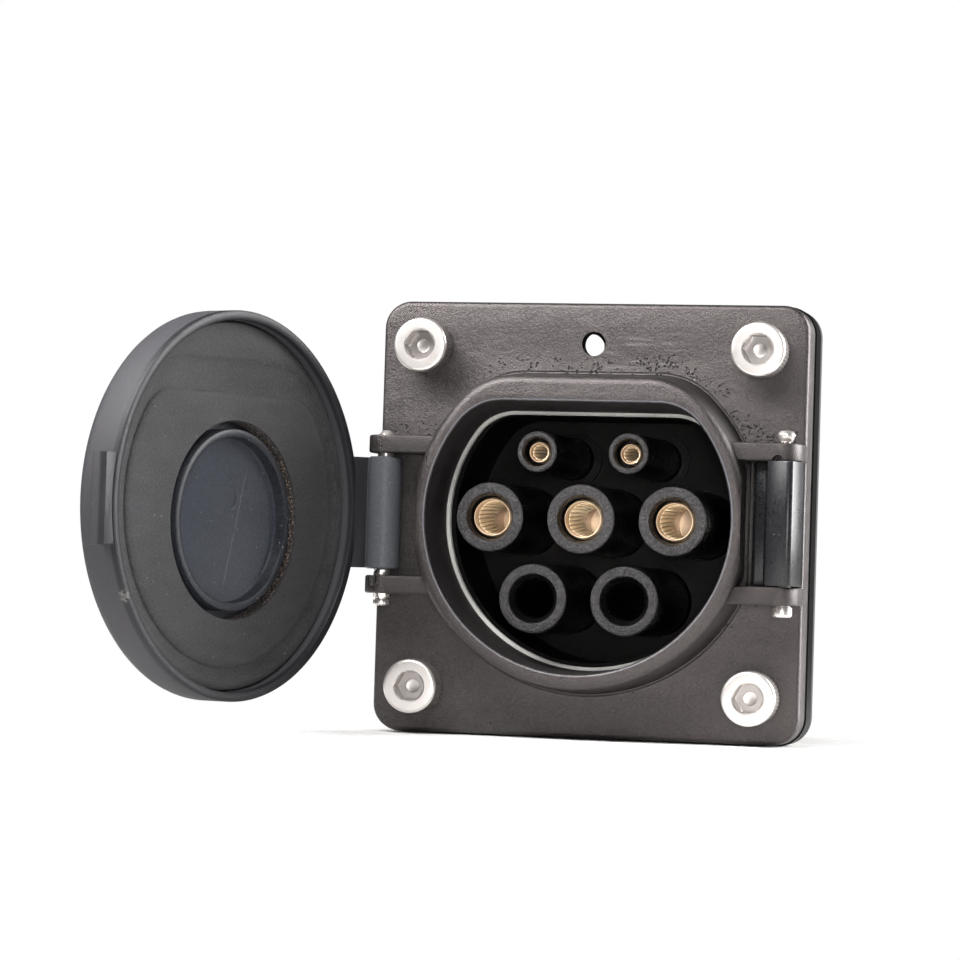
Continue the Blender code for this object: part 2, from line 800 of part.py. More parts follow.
def make_retainer_screws(material):
    for number, (x, height) in enumerate(retainer_screw_places(), 1):
        make_retainer_screw(f"retainer_screw_{number}", x, height, material)


# Flange screws


def make_flange_screw(name, x, height, material):
    seat = face + seat_gap
    top = seat + screw_head_height
    tip = seat - screw_length
    chamfer = screw_radius * 0.2
    profile = [(0.0, top)]
    profile += [(screw_head_radius - inset, top - screw_head_round + rise)
                for inset, rise in reversed(rounded_edge(screw_head_round, 2))]
    profile += [(screw_head_radius, seat), (screw_radius, seat), (screw_radius, tip + chamfer)]
    profile += [(screw_radius - chamfer, tip), (0.0, tip)]
    screw = turned(name, profile, x, height, bore_steps, material)
    corner = hex_across_flats / math.sqrt(3.0)
    mouth = corner + hex_chamfer
    socket = [(0.0, top + hex_depth), (mouth, top + hex_depth), (mouth, top), (corner, top - hex_chamfer),
              (corner, top - hex_depth), (0.0, top - hex_depth - hex_cone)]
    cut_away(screw, turned(f"{name}_hex", socket, x, height, 6))


def make_flange_screws(material):
    labels = ("top_left", "top_right", "bottom_left", "bottom_right")
    for label, (x, height) in zip(labels, screw_places()):
        make_flange_screw(f"flange_screw_{label}", x, height, material)


# Pins and springs


def make_pins(material):
    body = pin_radius
    crown = ear_outer + body * 0.6
    tail = ear_outer + body * 1.5
    waist = body * 0.75
    hinge = [(0.0, crown), (body * 0.45, crown), (body * 0.7, ear_outer + body * 0.35), (body, ear_outer)]
    hinge += [(body, -ear_outer - body * 0.5), (waist, -ear_outer - body * 0.5)]
    hinge += [(waist, -ear_outer - body * 0.8), (body, -ear_outer - body * 0.8)]
    hinge += [(body, -tail + body * 0.2), (body * 0.8, -tail), (0.0, -tail)]
    pin_shape("hinge_pin", hinge, hinge_x, pin_steps, material)
    neck = body * 0.5
    head = body * 1.23
    top = ear_outer + body * 1.1
    low = ear_outer + seat_gap
    latch = [(0.0, top), (neck, top), (neck, ear_outer), (body, ear_outer), (body, -low), (head, -low)]
    latch += [(head, -low - body), (head * 0.85, -low - body * 1.2), (0.0, -low - body * 1.2)]
    pin_shape("latch_pin", latch, latch_x, pin_steps, material)
    hole = neck + pass_clearance
    brim = body * 1.07
    base = ear_outer + seat_gap
    cap = [(0.0, top + body * 0.5), (brim * 0.7, top + body * 0.4), (brim, top)]
    cap += [(brim, top - body * 0.2), (hole + body * 0.1, base), (hole, base), (hole, top + seat_gap)]
    cap.append((0.0, top + seat_gap))
    pin_shape("latch_pin_cap", cap, latch_x, pin_steps, material)


def coil(radius, turns, low, high, x, start):
    """Points of a close coil about an upright pin, from the low end to the high end."""
    points = []
    per_turn = 8
    for index in range(turns * per_turn + 1):
        angle = math.radians(start) + 2 * math.pi * index / per_turn
        share = index / (turns * per_turn)
        points.append((x + radius * math.cos(angle), -pin_depth + radius * math.sin(angle),
                       low + (high - low) * share))
    return points


def make_lid_spring(material):
    """A torsion spring in the lid's barrel, with its fixed leg bent down into the ear's notch."""
    low = -barrel_low - spring_wire
    high = low + lid_spring_turns * (spring_wire + pass_clearance)
    turns = coil(spring_radius, lid_spring_turns, low + spring_wire, high, hinge_x, 270.0)
    leg_x = hinge_x - spring_notch_width * 0.3
    leg_depth = pin_depth + pin_bore_radius + pass_clearance * 2 + spring_wire / 2
    leg = [(leg_x, -leg_depth, -ear_inner - spring_notch_depth + pass_clearance + spring_wire / 2),
           (leg_x, -leg_depth, low - spring_wire / 2), (hinge_x - spring_wire, -leg_depth + spring_wire, low)]
    wire("lid_spring", leg + turns, spring_wire / 2, material)


def make_latch_spring(material, pivot):
    half = latch_window / 2 - spring_wire - pass_clearance
    turns = coil(spring_radius, latch_spring_turns, -half, half, latch_x, 270.0)
    flange_leg = [(latch_x + spring_radius * 0.7, -pin_depth - spring_radius * 0.7, half),
                  (latch_x + spring_radius, -pin_depth, half),
                  (latch_x + spring_radius, -face - spring_wire * 1.5, half)]
    route = [(x - pivot.location.x, y - pivot.location.y, z) for x, y, z in turns + flange_leg]
    obj = wire("latch_spring", route, spring_wire / 2, material)
    obj.parent = pivot


# Lid


def make_lid_shell(material, pivot):
    edge_base = lid_top - lid_edge_round
    lip = lid_wall * 0.15
    inner = lid_radius - lid_wall
    profile = [(0.0, lid_top)]
    profile += [(lid_radius - inset, edge_base + rise)
                for inset, rise in reversed(rounded_edge(lid_edge_round, 4))]
    profile += [(lid_radius, rim_depth + lip), (lid_radius - lip, rim_depth), (inner + lip, rim_depth)]
    profile += [(inner, rim_depth + lip), (inner, lid_inside), (0.0, lid_inside)]
    shell = turned("lid_shell", profile, 0.0, 0.0, lid_steps, material, pivot)
    root = (lid_inside + lid_top) / 2
    hollow = boss_radius - boss_wall
    cup_floor = boss_end + boss_cup_depth
    soft = boss_wall * 0.3
    boss = [(0.0, root), (boss_radius, root), (boss_radius, boss_end + soft), (boss_radius - soft, boss_end)]
    boss += [(hollow + soft / 2, boss_end), (hollow, boss_end + soft / 2), (hollow, cup_floor - soft)]
    boss += [(hollow - soft, cup_floor), (0.0, cup_floor)]
    join_solid(shell, turned("lid_boss", boss, 0.0, boss_drop, boss_steps, None, pivot))
    join_solid(shell, pin_round("lid_barrel", barrel_radius, -barrel_low, barrel_high, hinge_x,
                                barrel_steps, pivot))
    join_solid(shell, make_arm(pivot), make_lug(pivot))
    full = ear_outer
    cut_away(shell, pin_round("barrel_bore", pin_bore_radius, -full, full, hinge_x, bore_steps, pivot))
    pocket_top = -barrel_low + lid_spring_turns * (spring_wire + pass_clearance) + spring_wire
    cut_away(shell, pin_round("barrel_pocket", spring_pocket_radius, -full, pocket_top, hinge_x,
                              barrel_steps, pivot))


def make_arm(pivot):
    """The flat arm from the hinge barrel to the lid's wall."""
    wall = -lid_radius + lid_wall * 0.85
    barrel = barrel_radius
    outline = [(hinge_x + barrel * 0.5, pin_depth + barrel * 0.75), (wall, rim_depth + lid_wall * 0.1)]
    outline += [(wall, pin_depth + arm_height), (hinge_x + barrel, pin_depth + arm_height)]
    outline.append((hinge_x - barrel * 0.1, pin_depth + barrel * 2.1))
    outline += [(hinge_x - barrel * 0.7, pin_depth + barrel * 1.2), (hinge_x - barrel * 0.8, pin_depth)]
    outline.append((hinge_x, pin_depth))
    centre = (barrel_high - barrel_low) / 2
    return extruded("lid_arm", [(x, -depth) for x, depth in outline], centre - arm_width / 2,
                    centre + arm_width / 2, upright=True, pivot=pivot)


def make_lug(pivot):
    """The catch opposite the hinge: a ramp at the rim and a ledge that the hook holds."""
    root = lid_radius - lid_wall * 0.6
    tip = lid_radius + lug_reach
    ledge = rim_depth + lug_thickness
    ramp = lug_reach * 0.3
    base = rim_depth + lid_wall * 0.15
    outline = [(root, base), (tip - ramp, base), (tip, base + ramp * 1.4), (tip, ledge - ramp / 3),
               (tip - ramp / 3, ledge), (root, ledge)]
    return extruded("lid_lug", [(x, -depth) for x, depth in outline], -lug_length / 2, lug_length / 2,
                    upright=True, pivot=pivot)


def make_lid_gasket(material, pivot):
    profile = [(0.0, foam_back), (foam_radius, foam_back), (foam_radius, foam_face + foam_groove_depth)]
    profile += [(foam_radius - foam_groove_depth, foam_face), (0.0, foam_face)]
    foam = turned("lid_gasket", profile, 0.0, 0.0, lid_steps, material, pivot)
    hole = [(0.0, lid_top), (foam_hole_radius, lid_top), (foam_hole_radius, face), (0.0, face)]
    cut_away(foam, turned("foam_hole", hole, 0.0, boss_drop, boss_steps, None, pivot))
    floor = foam_face + foam_groove_depth
    groove = loft("foam_groove", [(collar_outline(), face), (collar_outline(), floor)], None, pivot)
    island = loft("foam_island", [(mouth_outline(), face - foam_thickness), (mouth_outline(), lid_top)],
                  None, pivot)
    cut_away(groove, island)
    cut_away(foam, groove)


# Latch


def make_latch(material, pivot):
    """The lever: barrel, foot towards the collar, web, hook over the lid's lug, and thumb tab."""
    radius = latch_barrel_radius
    lug_tip = lid_radius + lug_reach
    web_inner = lug_tip + pass_clearance * 1.3
    web_outer = web_inner + hook_web
    ledge = rim_depth + lug_thickness + seat_gap
    hook_tip = lid_radius + pass_clearance * 1.3
    hook_top = ledge + hook_thickness
    thumb_x = latch_x + thumb_reach
    foot_x = collar_side_flat + collar_draft
    foot_top = pin_depth + latch_foot_thickness / 2
    foot_low = foot_top - latch_foot_thickness
    outline = [(foot_x, foot_low), (foot_x, foot_top - latch_foot_thickness * 0.3)]
    outline += [(foot_x + latch_foot_thickness * 0.3, foot_top)]
    start = 180.0 - math.degrees(math.asin((foot_top - pin_depth) / radius))
    stop = math.degrees(math.acos((web_inner - latch_x) / radius))
    outline += arc((latch_x, pin_depth), radius, start, stop, 5)
    outline += [(web_inner, ledge), (hook_tip, ledge), (hook_tip, ledge + hook_thickness * 0.35)]
    outline += [(hook_tip + hook_thickness * 0.5, ledge + hook_thickness * 0.8)]
    ridge_radius = hook_thickness * 0.6
    outline += arc((web_outer - ridge_radius, hook_top), ridge_radius, 110.0, 20.0, 4)
    outline += [(thumb_x, pin_depth + thumb_high), (thumb_x, pin_depth + thumb_low)]
    under = math.degrees(math.asin((pin_depth - foot_low) / radius))
    outline += arc((latch_x, pin_depth), radius, 10.0, -180.0 + under, 10)
    half = latch_length / 2
    turned_outline = [(x - pivot.location.x, -depth - pivot.location.y) for x, depth in outline]
    lever = extruded("latch_lever", turned_outline, -half, half, upright=True, material=material)
    lever.parent = pivot
    cut_away(lever, pin_round("latch_bore", pin_bore_radius, -half * 2, half * 2, latch_x, bore_steps, pivot))
    window = spring_pocket_radius
    middle = latch_window / 2
    cut_away(lever, pin_round("latch_window_round", window, -middle, middle, latch_x, barrel_steps, pivot))
    reach_x = (latch_x - window, latch_x + radius * 1.2)
    cut_away(lever, block("latch_window_back", reach_x, (face, pin_depth), (-middle, middle), pivot))
    return lever


def make_empty(name, x):
    empty = bpy.data.objects.new(name, None)
    empty.location = (x, -pin_depth, 0.0)
    parts.objects.link(empty)
    return empty


clear_scene()
parts = make_collection(part_name)
tools = make_collection(f"{part_name}_tools")

coat = make_material("black_textured_coat", (0.020, 0.019, 0.018), 0.55)
moulding = make_material("black_moulding", (0.008, 0.008, 0.009), 0.35)
sleeve_plastic = make_material("satin_sleeve_plastic", (0.030, 0.029, 0.029), 0.45)
lid_plastic = make_material("lid_plastic", (0.026, 0.030, 0.036), 0.42)
foam = make_material("sealing_foam", (0.060, 0.055, 0.052), 0.80)
pale_rubber = make_material("pale_rubber", (0.520, 0.510, 0.480), 0.60)
black_rubber = make_material("black_rubber", (0.020, 0.020, 0.020), 0.75)
brass = make_material("brass", (0.720, 0.500, 0.260), 0.28, 1.0)
spring_brass = make_material("spring_brass", (0.780, 0.560, 0.300), 0.24, 1.0)
stainless = make_material("stainless_steel", (0.620, 0.600, 0.570), 0.28, 1.0)
spring_steel = make_material("spring_steel", (0.060, 0.058, 0.055), 0.35, 1.0)

lid_hinge = make_empty("lid_hinge_line", hinge_x)
latch_pivot = make_empty("latch_pivot_line", latch_x)

make_front_frame(coat)
make_shroud_gasket(pale_rubber)
make_panel_gasket(black_rubber)
make_carrier(moulding)
make_sleeves(sleeve_plastic)
make_contacts(brass, spring_brass)
make_retainer(moulding)
make_retainer_screws(stainless)
make_flange_screws(stainless)
make_pins(stainless)
make_lid_spring(spring_steel)
make_lid_shell(lid_plastic, lid_hinge)
make_lid_gasket(foam, lid_hinge)
make_latch(lid_plastic, latch_pivot)
make_latch_spring(spring_steel, latch_pivot)

lid_hinge.rotation_euler = (0.0, 0.0, -math.radians(lid_open_angle))
bpy.context.view_layer.update()
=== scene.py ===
# Looks of the vehicle charging inlet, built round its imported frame.
# Pieces are drawn in millimetres and made metres when they are placed. "Depth" is the distance in
# front of the panel face, so y = -depth. The lid is drawn closed and then turned open on its hinge.
import math

import bmesh
import bpy
from mathutils import Matrix, Vector


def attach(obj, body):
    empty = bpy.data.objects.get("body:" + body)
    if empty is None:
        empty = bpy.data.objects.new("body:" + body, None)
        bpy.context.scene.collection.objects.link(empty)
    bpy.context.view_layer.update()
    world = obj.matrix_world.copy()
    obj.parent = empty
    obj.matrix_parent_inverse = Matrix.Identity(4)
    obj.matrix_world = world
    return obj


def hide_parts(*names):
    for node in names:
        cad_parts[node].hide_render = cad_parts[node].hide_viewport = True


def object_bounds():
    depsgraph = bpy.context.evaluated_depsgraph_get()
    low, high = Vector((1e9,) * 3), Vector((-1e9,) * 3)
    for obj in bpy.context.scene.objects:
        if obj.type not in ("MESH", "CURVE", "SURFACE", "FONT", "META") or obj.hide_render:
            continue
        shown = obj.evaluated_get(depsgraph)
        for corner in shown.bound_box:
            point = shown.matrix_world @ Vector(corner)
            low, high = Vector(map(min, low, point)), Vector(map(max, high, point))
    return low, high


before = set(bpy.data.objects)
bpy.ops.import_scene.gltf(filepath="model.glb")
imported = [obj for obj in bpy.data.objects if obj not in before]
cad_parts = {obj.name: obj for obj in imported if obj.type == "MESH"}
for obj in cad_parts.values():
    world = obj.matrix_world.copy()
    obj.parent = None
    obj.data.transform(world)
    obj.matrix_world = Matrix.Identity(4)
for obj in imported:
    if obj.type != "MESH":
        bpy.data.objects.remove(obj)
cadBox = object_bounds()
print("frame loaded")

fullTurn = 2 * math.pi

stack = {
    "carrierBack": 2.3, "carrierFront": 7.3, "frameBack": 7.6, "face": 14.1, "collarFront": 25.1,
    "sealStep": 11.1, "sealFront": 10.8, "sealBack": 9.3, "cupFront": 9.0, "floorFront": -10.9,
    "floorBack": -14.9, "skirtBack": -29.9, "towerFront": 21.1, "sleeveSeat": -15.2,
    "sleeveBack": -16.7, "pin": 19.4, "rim": 23.2, "foamFace": 25.4, "foamBack": 28.4,
    "lidInside": 28.7, "lidTop": 32.2,
}
hingeX, latchX = -37.5, 37.1
lidAngle = -111.0
screwSpots = {"top_left": (-31.5, 31.5), "top_right": (31.5, 31.5),
              "bottom_left": (-31.5, -31.5), "bottom_right": (31.5, -31.5)}
powerSpots = {"live": (-17.0, 0.0), "earth": (0.0, 0.0), "neutral": (17.0, 0.0)}
signalSpots = {"left": (-8.5, 12.1), "right": (8.5, 12.1)}
spareSpots = {"left": (-8.5, -14.7), "right": (8.5, -14.7)}
postSpots = [(0.0, 14.5), (-20.0, -12.0), (20.0, -12.0)]
mouthSize = {"radius": 28.2, "flat": 21.1, "corner": 10.0}
innerSize = {"radius": 28.2, "flat": 20.5, "corner": 9.7}
collarSize = {"radius": 31.0, "flat": 26.0, "corner": 13.0}
foamSizes = {"radius": 32.6, "hole": 17.6, "holeSpot": (-1.0, -2.5)}


# drawing helpers

def chain(bm, spots, closed=False):
    verts = [bm.verts.new(spot) for spot in spots]
    pairs = list(zip(verts, verts[1:])) + ([(verts[-1], verts[0])] if closed else [])
    for a, b in pairs:
        bm.edges.new((a, b))
    return verts


def tidy(bm, reach=0.0005):
    bmesh.ops.remove_doubles(bm, verts=bm.verts, dist=reach)
    bmesh.ops.recalc_face_normals(bm, faces=bm.faces)
    return bm


def turned(profile, steps=72, x=0.0, height=0.0, upright=False, closed=False):
    # a (radius, depth) profile turned about a line towards the viewer, or upright about a pin
    bm = bmesh.new()
    if upright:
        spots = [(x + radius, -stack["pin"], level) for radius, level in profile]
        centre, axis = (x, -stack["pin"], 0.0), (0, 0, 1)
    else:
        spots = [(x + radius, -level, height) for radius, level in profile]
        centre, axis = (x, 0.0, height), (0, 1, 0)
    chain(bm, spots, closed)
    bmesh.ops.spin(bm, geom=bm.verts[:] + bm.edges[:], cent=centre, axis=axis, angle=fullTurn,
                   steps=steps, use_merge=True)
    return tidy(bm)


def dRing(bm, size, outset, depth, fine=1):
    # the shroud's outline, a circle with a flat top and rounded corners, spun arc by arc
    radius, flat, corner = (size[key] + outset for key in ("radius", "flat", "corner"))
    rise = flat - corner
    reach = math.sqrt((radius - corner) ** 2 - rise ** 2)
    lean = math.degrees(math.atan2(rise, reach))
    before = set(bm.edges)
    first = last = bm.verts.new((reach, -depth, flat))
    arcs = (((reach, rise), 90 - lean, 10 * fine), ((0, 0), 180 + 2 * lean, 90 * fine),
            ((-reach, rise), 90 - lean, 10 * fine))
    for (x, height), angle, steps in arcs:
        made = bmesh.ops.spin(bm, geom=[last], cent=(x, -depth, height), axis=(0, 1, 0),
                              angle=math.radians(angle), steps=steps)
        last = [item for item in made["geom_last"] if isinstance(item, bmesh.types.BMVert)][0]
    bm.edges.new((last, first))
    return [edge for edge in bm.edges if edge not in before]


def dSolid(size, rings, hollow=False):
    bm = bmesh.new()
    loops = [dRing(bm, *(ring if len(ring) == 3 else (size, *ring))) for ring in rings]
    if hollow:
        loops.append(loops[0])
    for lower, upper in zip(loops, loops[1:]):
        bmesh.ops.bridge_loops(bm, edges=lower + upper)
    if not hollow:
        bmesh.ops.edgeloop_fill(bm, edges=loops[0])
        bmesh.ops.edgeloop_fill(bm, edges=loops[-1])
    return tidy(bm)


def rounding(radius, steps=5):
    # (inset, rise) pairs that take a wall round a quarter circle
    turns = [math.pi / 2 * step / steps for step in range(steps + 1)]
    return [(radius * (1 - math.cos(turn)), radius * math.sin(turn)) for turn in turns]


def block(low, high):
    # a box from its low to its high corner, given as (x, depth, height)
    bm = bmesh.new()
    bmesh.ops.create_cube(bm, size=1.0)
    size = [b - a for a, b in zip(low, high)]
    middle = [(a + b) / 2 for a, b in zip(low, high)]
    bmesh.ops.scale(bm, vec=size, verts=bm.verts)
    bmesh.ops.translate(bm, vec=(middle[0], -middle[1], middle[2]), verts=bm.verts)
    return bm


def squarePlate(side, low, high, corner):
    bm = block((-side / 2, low, -side / 2), (side / 2, high, side / 2))
    upright = [edge for edge in bm.edges if abs(edge.verts[0].co.y - edge.verts[1].co.y) > 0.01]
    bmesh.ops.bevel(bm, geom=upright, offset=corner, segments=12, profile=0.5, affect="EDGES", material=-1)
    return bm


def softEdges(bm, width, segments=2, over=40.0, test=None):
    sharp = [edge for edge in bm.edges if len(edge.link_faces) == 2
             and edge.calc_face_angle(0.0) > math.radians(over) and (test is None or test(edge))]
    bmesh.ops.bevel(bm, geom=sharp, offset=width, segments=segments, profile=0.5, affect="EDGES",
                    clamp_overlap=True, material=-1)
    return bm


def extruded(spots, low, high, edge=0.0, segments=2):
    # an outline in (x, depth) with its height; a spot of four numbers spins a corner arc to it
    bm = bmesh.new()
    first = last = None
    for spot in spots:
        if len(spot) == 2:
            vert = bm.verts.new((spot[0], -spot[1], low))
            if last is not None:
                bm.edges.new((last, vert))
        else:
            x, depth, angle, steps = spot
            made = bmesh.ops.spin(bm, geom=[last], cent=(x, -depth, low), axis=(0, 0, 1),
                                  angle=math.radians(angle), steps=steps)
            vert = [item for item in made["geom_last"] if isinstance(item, bmesh.types.BMVert)][0]
        first = first or vert
        last = vert
    bm.edges.new((last, first))
    bmesh.ops.edgeloop_fill(bm, edges=bm.edges[:])
    grown = bmesh.ops.extrude_face_region(bm, geom=bm.faces[:])
    moved = [item for item in grown["geom"] if isinstance(item, bmesh.types.BMVert)]
    bmesh.ops.translate(bm, vec=(0, 0, high - low), verts=moved)
    tidy(bm)
    return softEdges(bm, edge, segments, 30.0) if edge else bm


def plugs(spots, radius, low, high, steps=48):
    bm = bmesh.new()
    for x, height in spots:
        made = bmesh.ops.create_cone(bm, cap_ends=True, segments=steps, radius1=radius, radius2=radius,
                                     depth=high - low)
        bmesh.ops.rotate(bm, cent=(0, 0, 0), matrix=Matrix.Rotation(math.pi / 2, 3, "X"), verts=made["verts"])
        bmesh.ops.translate(bm, vec=(x, -(low + high) / 2, height), verts=made["verts"])
    return bm


def uprightPlug(x, radius, low, high, depth=None, steps=32):
    bm = bmesh.new()
    bmesh.ops.create_cone(bm, cap_ends=True, segments=steps, radius1=radius, radius2=radius, depth=high - low)
    depth = stack["pin"] if depth is None else depth
    bmesh.ops.translate(bm, vec=(x, -depth, (low + high) / 2), verts=bm.verts)
    return bm


def bench(bm):
    mesh = bpy.data.meshes.new("onTheBench")
    bm.to_mesh(mesh)
    bm.free()
    thing = bpy.data.objects.new("onTheBench", mesh)
    bpy.context.scene.collection.objects.link(thing)
    return thing


def combine(base, *steps):
    # joins or cuts solids, each step being "UNION" or "DIFFERENCE" with its tools
    body = bench(base)
    used = [body]
    for operation, *tools in steps:
        for tool in tools:
            used.append(bench(tool))
            step = body.modifiers.new("Step", "BOOLEAN")
            step.operation, step.solver, step.object = operation, "EXACT", used[-1]
    bm = bmesh.new()
    bm.from_object(body, bpy.context.evaluated_depsgraph_get())
    for thing in used:
        mesh = thing.data
        bpy.data.objects.remove(thing)
        bpy.data.meshes.remove(mesh)
    bmesh.ops.remove_doubles(bm, verts=bm.verts, dist=0.001)
    return bm


def place(name, bm, material, body, nodes, smooth=35.0, opened=False):
    if opened:
        bmesh.ops.rotate(bm, cent=(hingeX, -stack["pin"], 0.0), verts=bm.verts,
                         matrix=Matrix.Rotation(math.radians(lidAngle), 3, "Z"))
    bmesh.ops.scale(bm, vec=(0.001, 0.001, 0.001), verts=bm.verts)
    mesh = bpy.data.meshes.new(name)
    bm.to_mesh(mesh)
    bm.free()
    piece = bpy.data.objects.new(name, mesh)
    bpy.context.scene.collection.objects.link(piece)
    mesh.materials.append(material)
    mesh.shade_smooth()
    mesh.set_sharp_from_angle(angle=math.radians(smooth))
    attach(piece, body)
    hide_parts(*nodes)
    return piece


# shader helpers

class Flow:
    # one socket of a material's nodes, with sums written as plain expressions
    def __init__(self, tree, socket=None):
        self.tree, self.socket = tree, socket

    def node(self, kind, settings=None, inputs=None, out=0):
        made = self.tree.nodes.new("ShaderNode" + kind)
        for name, value in (settings or {}).items():
            if name == "stops":
                ramp = made.color_ramp
                while len(ramp.elements) < len(value):
                    ramp.elements.new(0.5)
                for element, (spot, tone) in zip(ramp.elements, value):
                    element.position = spot
                    element.color = (*tone, 1.0) if isinstance(tone, tuple) else (tone, tone, tone, 1.0)
            else:
                setattr(made, name, value)
        for name, value in (inputs or {}).items():
            self.feed(made.inputs[name], value)
        return Flow(self.tree, made.outputs[out])

    def feed(self, target, value):
        if isinstance(value, Flow):
            self.tree.links.new(value.socket, target)
        elif isinstance(value, tuple) and target.type == "RGBA":
            target.default_value = (*value, 1.0)
        else:
            target.default_value = value

    def maths(self, operation, first, second=None):
        inputs = {0: first} if second is None else {0: first, 1: second}
        return self.node("Math", {"operation": operation}, inputs)

    def stretch(self, spot, scale, turn=0.0):
        return self.node("Mapping", None, {"Vector": spot, "Scale": scale, "Rotation": (0.0, turn, 0.0)})

    def __add__(self, other):
        return self.maths("ADD", self, other)

    def __radd__(self, other):
        return self.maths("ADD", other, self)

    def __sub__(self, other):
        return self.maths("SUBTRACT", self, other)

    def __rsub__(self, other):
        return self.maths("SUBTRACT", other, self)

    def __mul__(self, other):
        return self.maths("MULTIPLY", self, other)

    def __rmul__(self, other):
        return self.maths("MULTIPLY", other, self)

    def __truediv__(self, other):
        return self.maths("DIVIDE", self, other)

    def __pow__(self, other):
        return self.maths("POWER", self, other)

    def between(self, low, high, start=0.0, end=1.0):
        return self.node("MapRange", {"interpolation_type": "SMOOTHSTEP"},
                         {0: self, 1: low, 2: high, 3: start, 4: end})

    def noise(self, spot, scale, detail=3.0, roughness=0.55):
        return self.node("TexNoise", {"noise_dimensions": "3D"},
                         {"Vector": spot, "Scale": scale, "Detail": detail, "Roughness": roughness})

    def cells(self, spot, scale, feature="F1", randomness=1.0):
        return self.node("TexVoronoi", {"feature": feature},
                         {"Vector": spot, "Scale": scale, "Randomness": randomness})

    def mix(self, share, first, second, way="MIX"):
        return self.node("Mix", {"data_type": "RGBA", "blend_type": way}, {0: share, 6: first, 7: second}, out=2)

    def bump(self, height, strength=1.0, distance=0.0001, before=None):
        inputs = {"Strength": strength, "Distance": distance, "Height": height}
        if before is not None:
            inputs["Normal"] = before
        return self.node("Bump", None, inputs)

    def part(self, axis):
        return self.node("SeparateXYZ", None, {0: self}, out="XYZ".index(axis))


def startMaterial(name, **constants):
    material = bpy.data.materials.new(name)
    material.use_nodes = True
    shader = material.node_tree.nodes["Principled BSDF"]
    flow = Flow(material.node_tree)
    for socket, value in constants.items():
        flow.feed(shader.inputs[socket.replace("_", " ")], value)
    spot = flow.node("TexCoord", out="Object")
    spot = flow.node("VectorMath", {"operation": "SCALE"}, {0: spot, "Scale": 1000.0})
    return material, shader, flow, spot


def finish(material, shader, flow, **links):
    for socket, value in links.items():
        flow.feed(shader.inputs[socket.replace("_", " ")], value)
    return material


# camera, light and floor

studio = {
    "eye": (0.13328, -0.64537, -0.01439),
    "right": (0.9713, 0.2359, 0.0316), "up": (-0.0229, -0.0393, 0.9990), "forward": (-0.2369, 0.9710, 0.0328),
    "lens": 131.59, "sensor": 36.0, "surround": 0.04,
    "lamps": (("topStrip", (-0.05, -0.17, 0.17), (0.25, 0.06), 1.0, 180.0),
              ("topPatch", (-0.12, -0.14, 0.20), (0.12, 0.08), 0.55, 180.0),
              ("leftPatch", (-0.28, -0.22, 0.22), (0.2, 0.2), 1.5, 180.0),
              ("backPanel", (0.9, 0.55, 0.3), (0.6, 0.8), 16.0, 180.0),
              ("sidePanel", (0.45, 0.12, 0.12), (0.2, 0.35), 4.6, 180.0),
              ("fillPanel", (0.156, -0.734, 0.0), (0.12, 0.12), 1.8, 180.0),
              ("contactSpot", (0.156, -0.734, 0.0), (0.03, 0.03), 0.0045, 4.0)),
    "floorSize": 4.0, "floorTone": (0.80, 0.79, 0.78), "floorSeen": (44.0, 60.0), "floorFade": (130.0, 260.0),
}


def setStudio(values):
    camera = bpy.data.objects.new("photoCamera", bpy.data.cameras.new("photoCamera"))
    columns = [Vector(values["right"]), Vector(values["up"]), -Vector(values["forward"])]
    turn = Matrix([[column[row] for column in columns] for row in range(3)])
    camera.matrix_world = Matrix.Translation(values["eye"]) @ turn.to_4x4()
    camera.data.lens, camera.data.sensor_width = values["lens"], values["sensor"]
    camera.data.clip_start, camera.data.clip_end = 0.01, 50.0
    bpy.context.scene.collection.objects.link(camera)
    bpy.context.scene.camera = camera

    world = bpy.data.worlds.new("whiteRoom")
    world.use_nodes = True
    room = Flow(world.node_tree)
    seen = room.node("LightPath", out="Is Camera Ray")
    paper = room.node("Background", None, {"Color": (1.0, 1.0, 1.0), "Strength": 1.0})
    dim = room.node("Background", None, {"Color": (1.0, 0.97, 0.96), "Strength": values["surround"]})
    room.feed(world.node_tree.nodes["World Output"].inputs["Surface"],
              room.node("MixShader", None, {0: seen, 1: dim, 2: paper}))
    bpy.context.scene.world = world

    for name, spot, size, power, spread in values["lamps"]:
        lamp = bpy.data.lights.new(name, "AREA")
        lamp.shape, lamp.size, lamp.size_y = "RECTANGLE", size[0], size[1]
        lamp.energy, lamp.spread = power, math.radians(spread)
        thing = bpy.data.objects.new(name, lamp)
        thing.location = spot
        thing.rotation_euler = (Vector((0, 0, 0)) - Vector(spot)).to_track_quat("-Z", "Y").to_euler()
        bpy.context.scene.collection.objects.link(thing)

    bm = bmesh.new()
    bmesh.ops.create_grid(bm, x_segments=1, y_segments=1, size=values["floorSize"] / 2)
    mesh = bpy.data.meshes.new("studioFloor")
    bm.to_mesh(mesh)
    bm.free()
    floor = bpy.data.objects.new("studioFloor", mesh)
    floor.location = (0.0, 0.0, cadBox[0][2])
    bpy.context.scene.collection.objects.link(floor)
    material, shader, flow, spot = startMaterial("paleFloor", Roughness=0.7)
    reach = (spot.part("X") ** 2 + spot.part("Y") ** 2) ** 0.5  # the paper melts into the white room further out
    weave = flow.noise(spot, 0.8, 3.0)
    tone = flow.mix(weave * 0.2, values["floorTone"], (0.84, 0.83, 0.82))
    seen = flow.node("LightPath", out="Is Camera Ray")
    fade = reach.between(*values["floorFade"], 1.0, 0.0) * (1.0 - seen)
    fade = fade + reach.between(*values["floorSeen"], 1.0, 0.0) * seen
    mesh.materials.append(finish(material, shader, flow, Base_Color=tone, Alpha=fade))
    bpy.context.scene.view_settings.view_transform = "Standard"


setStudio(studio)
print("studio set")


# materials

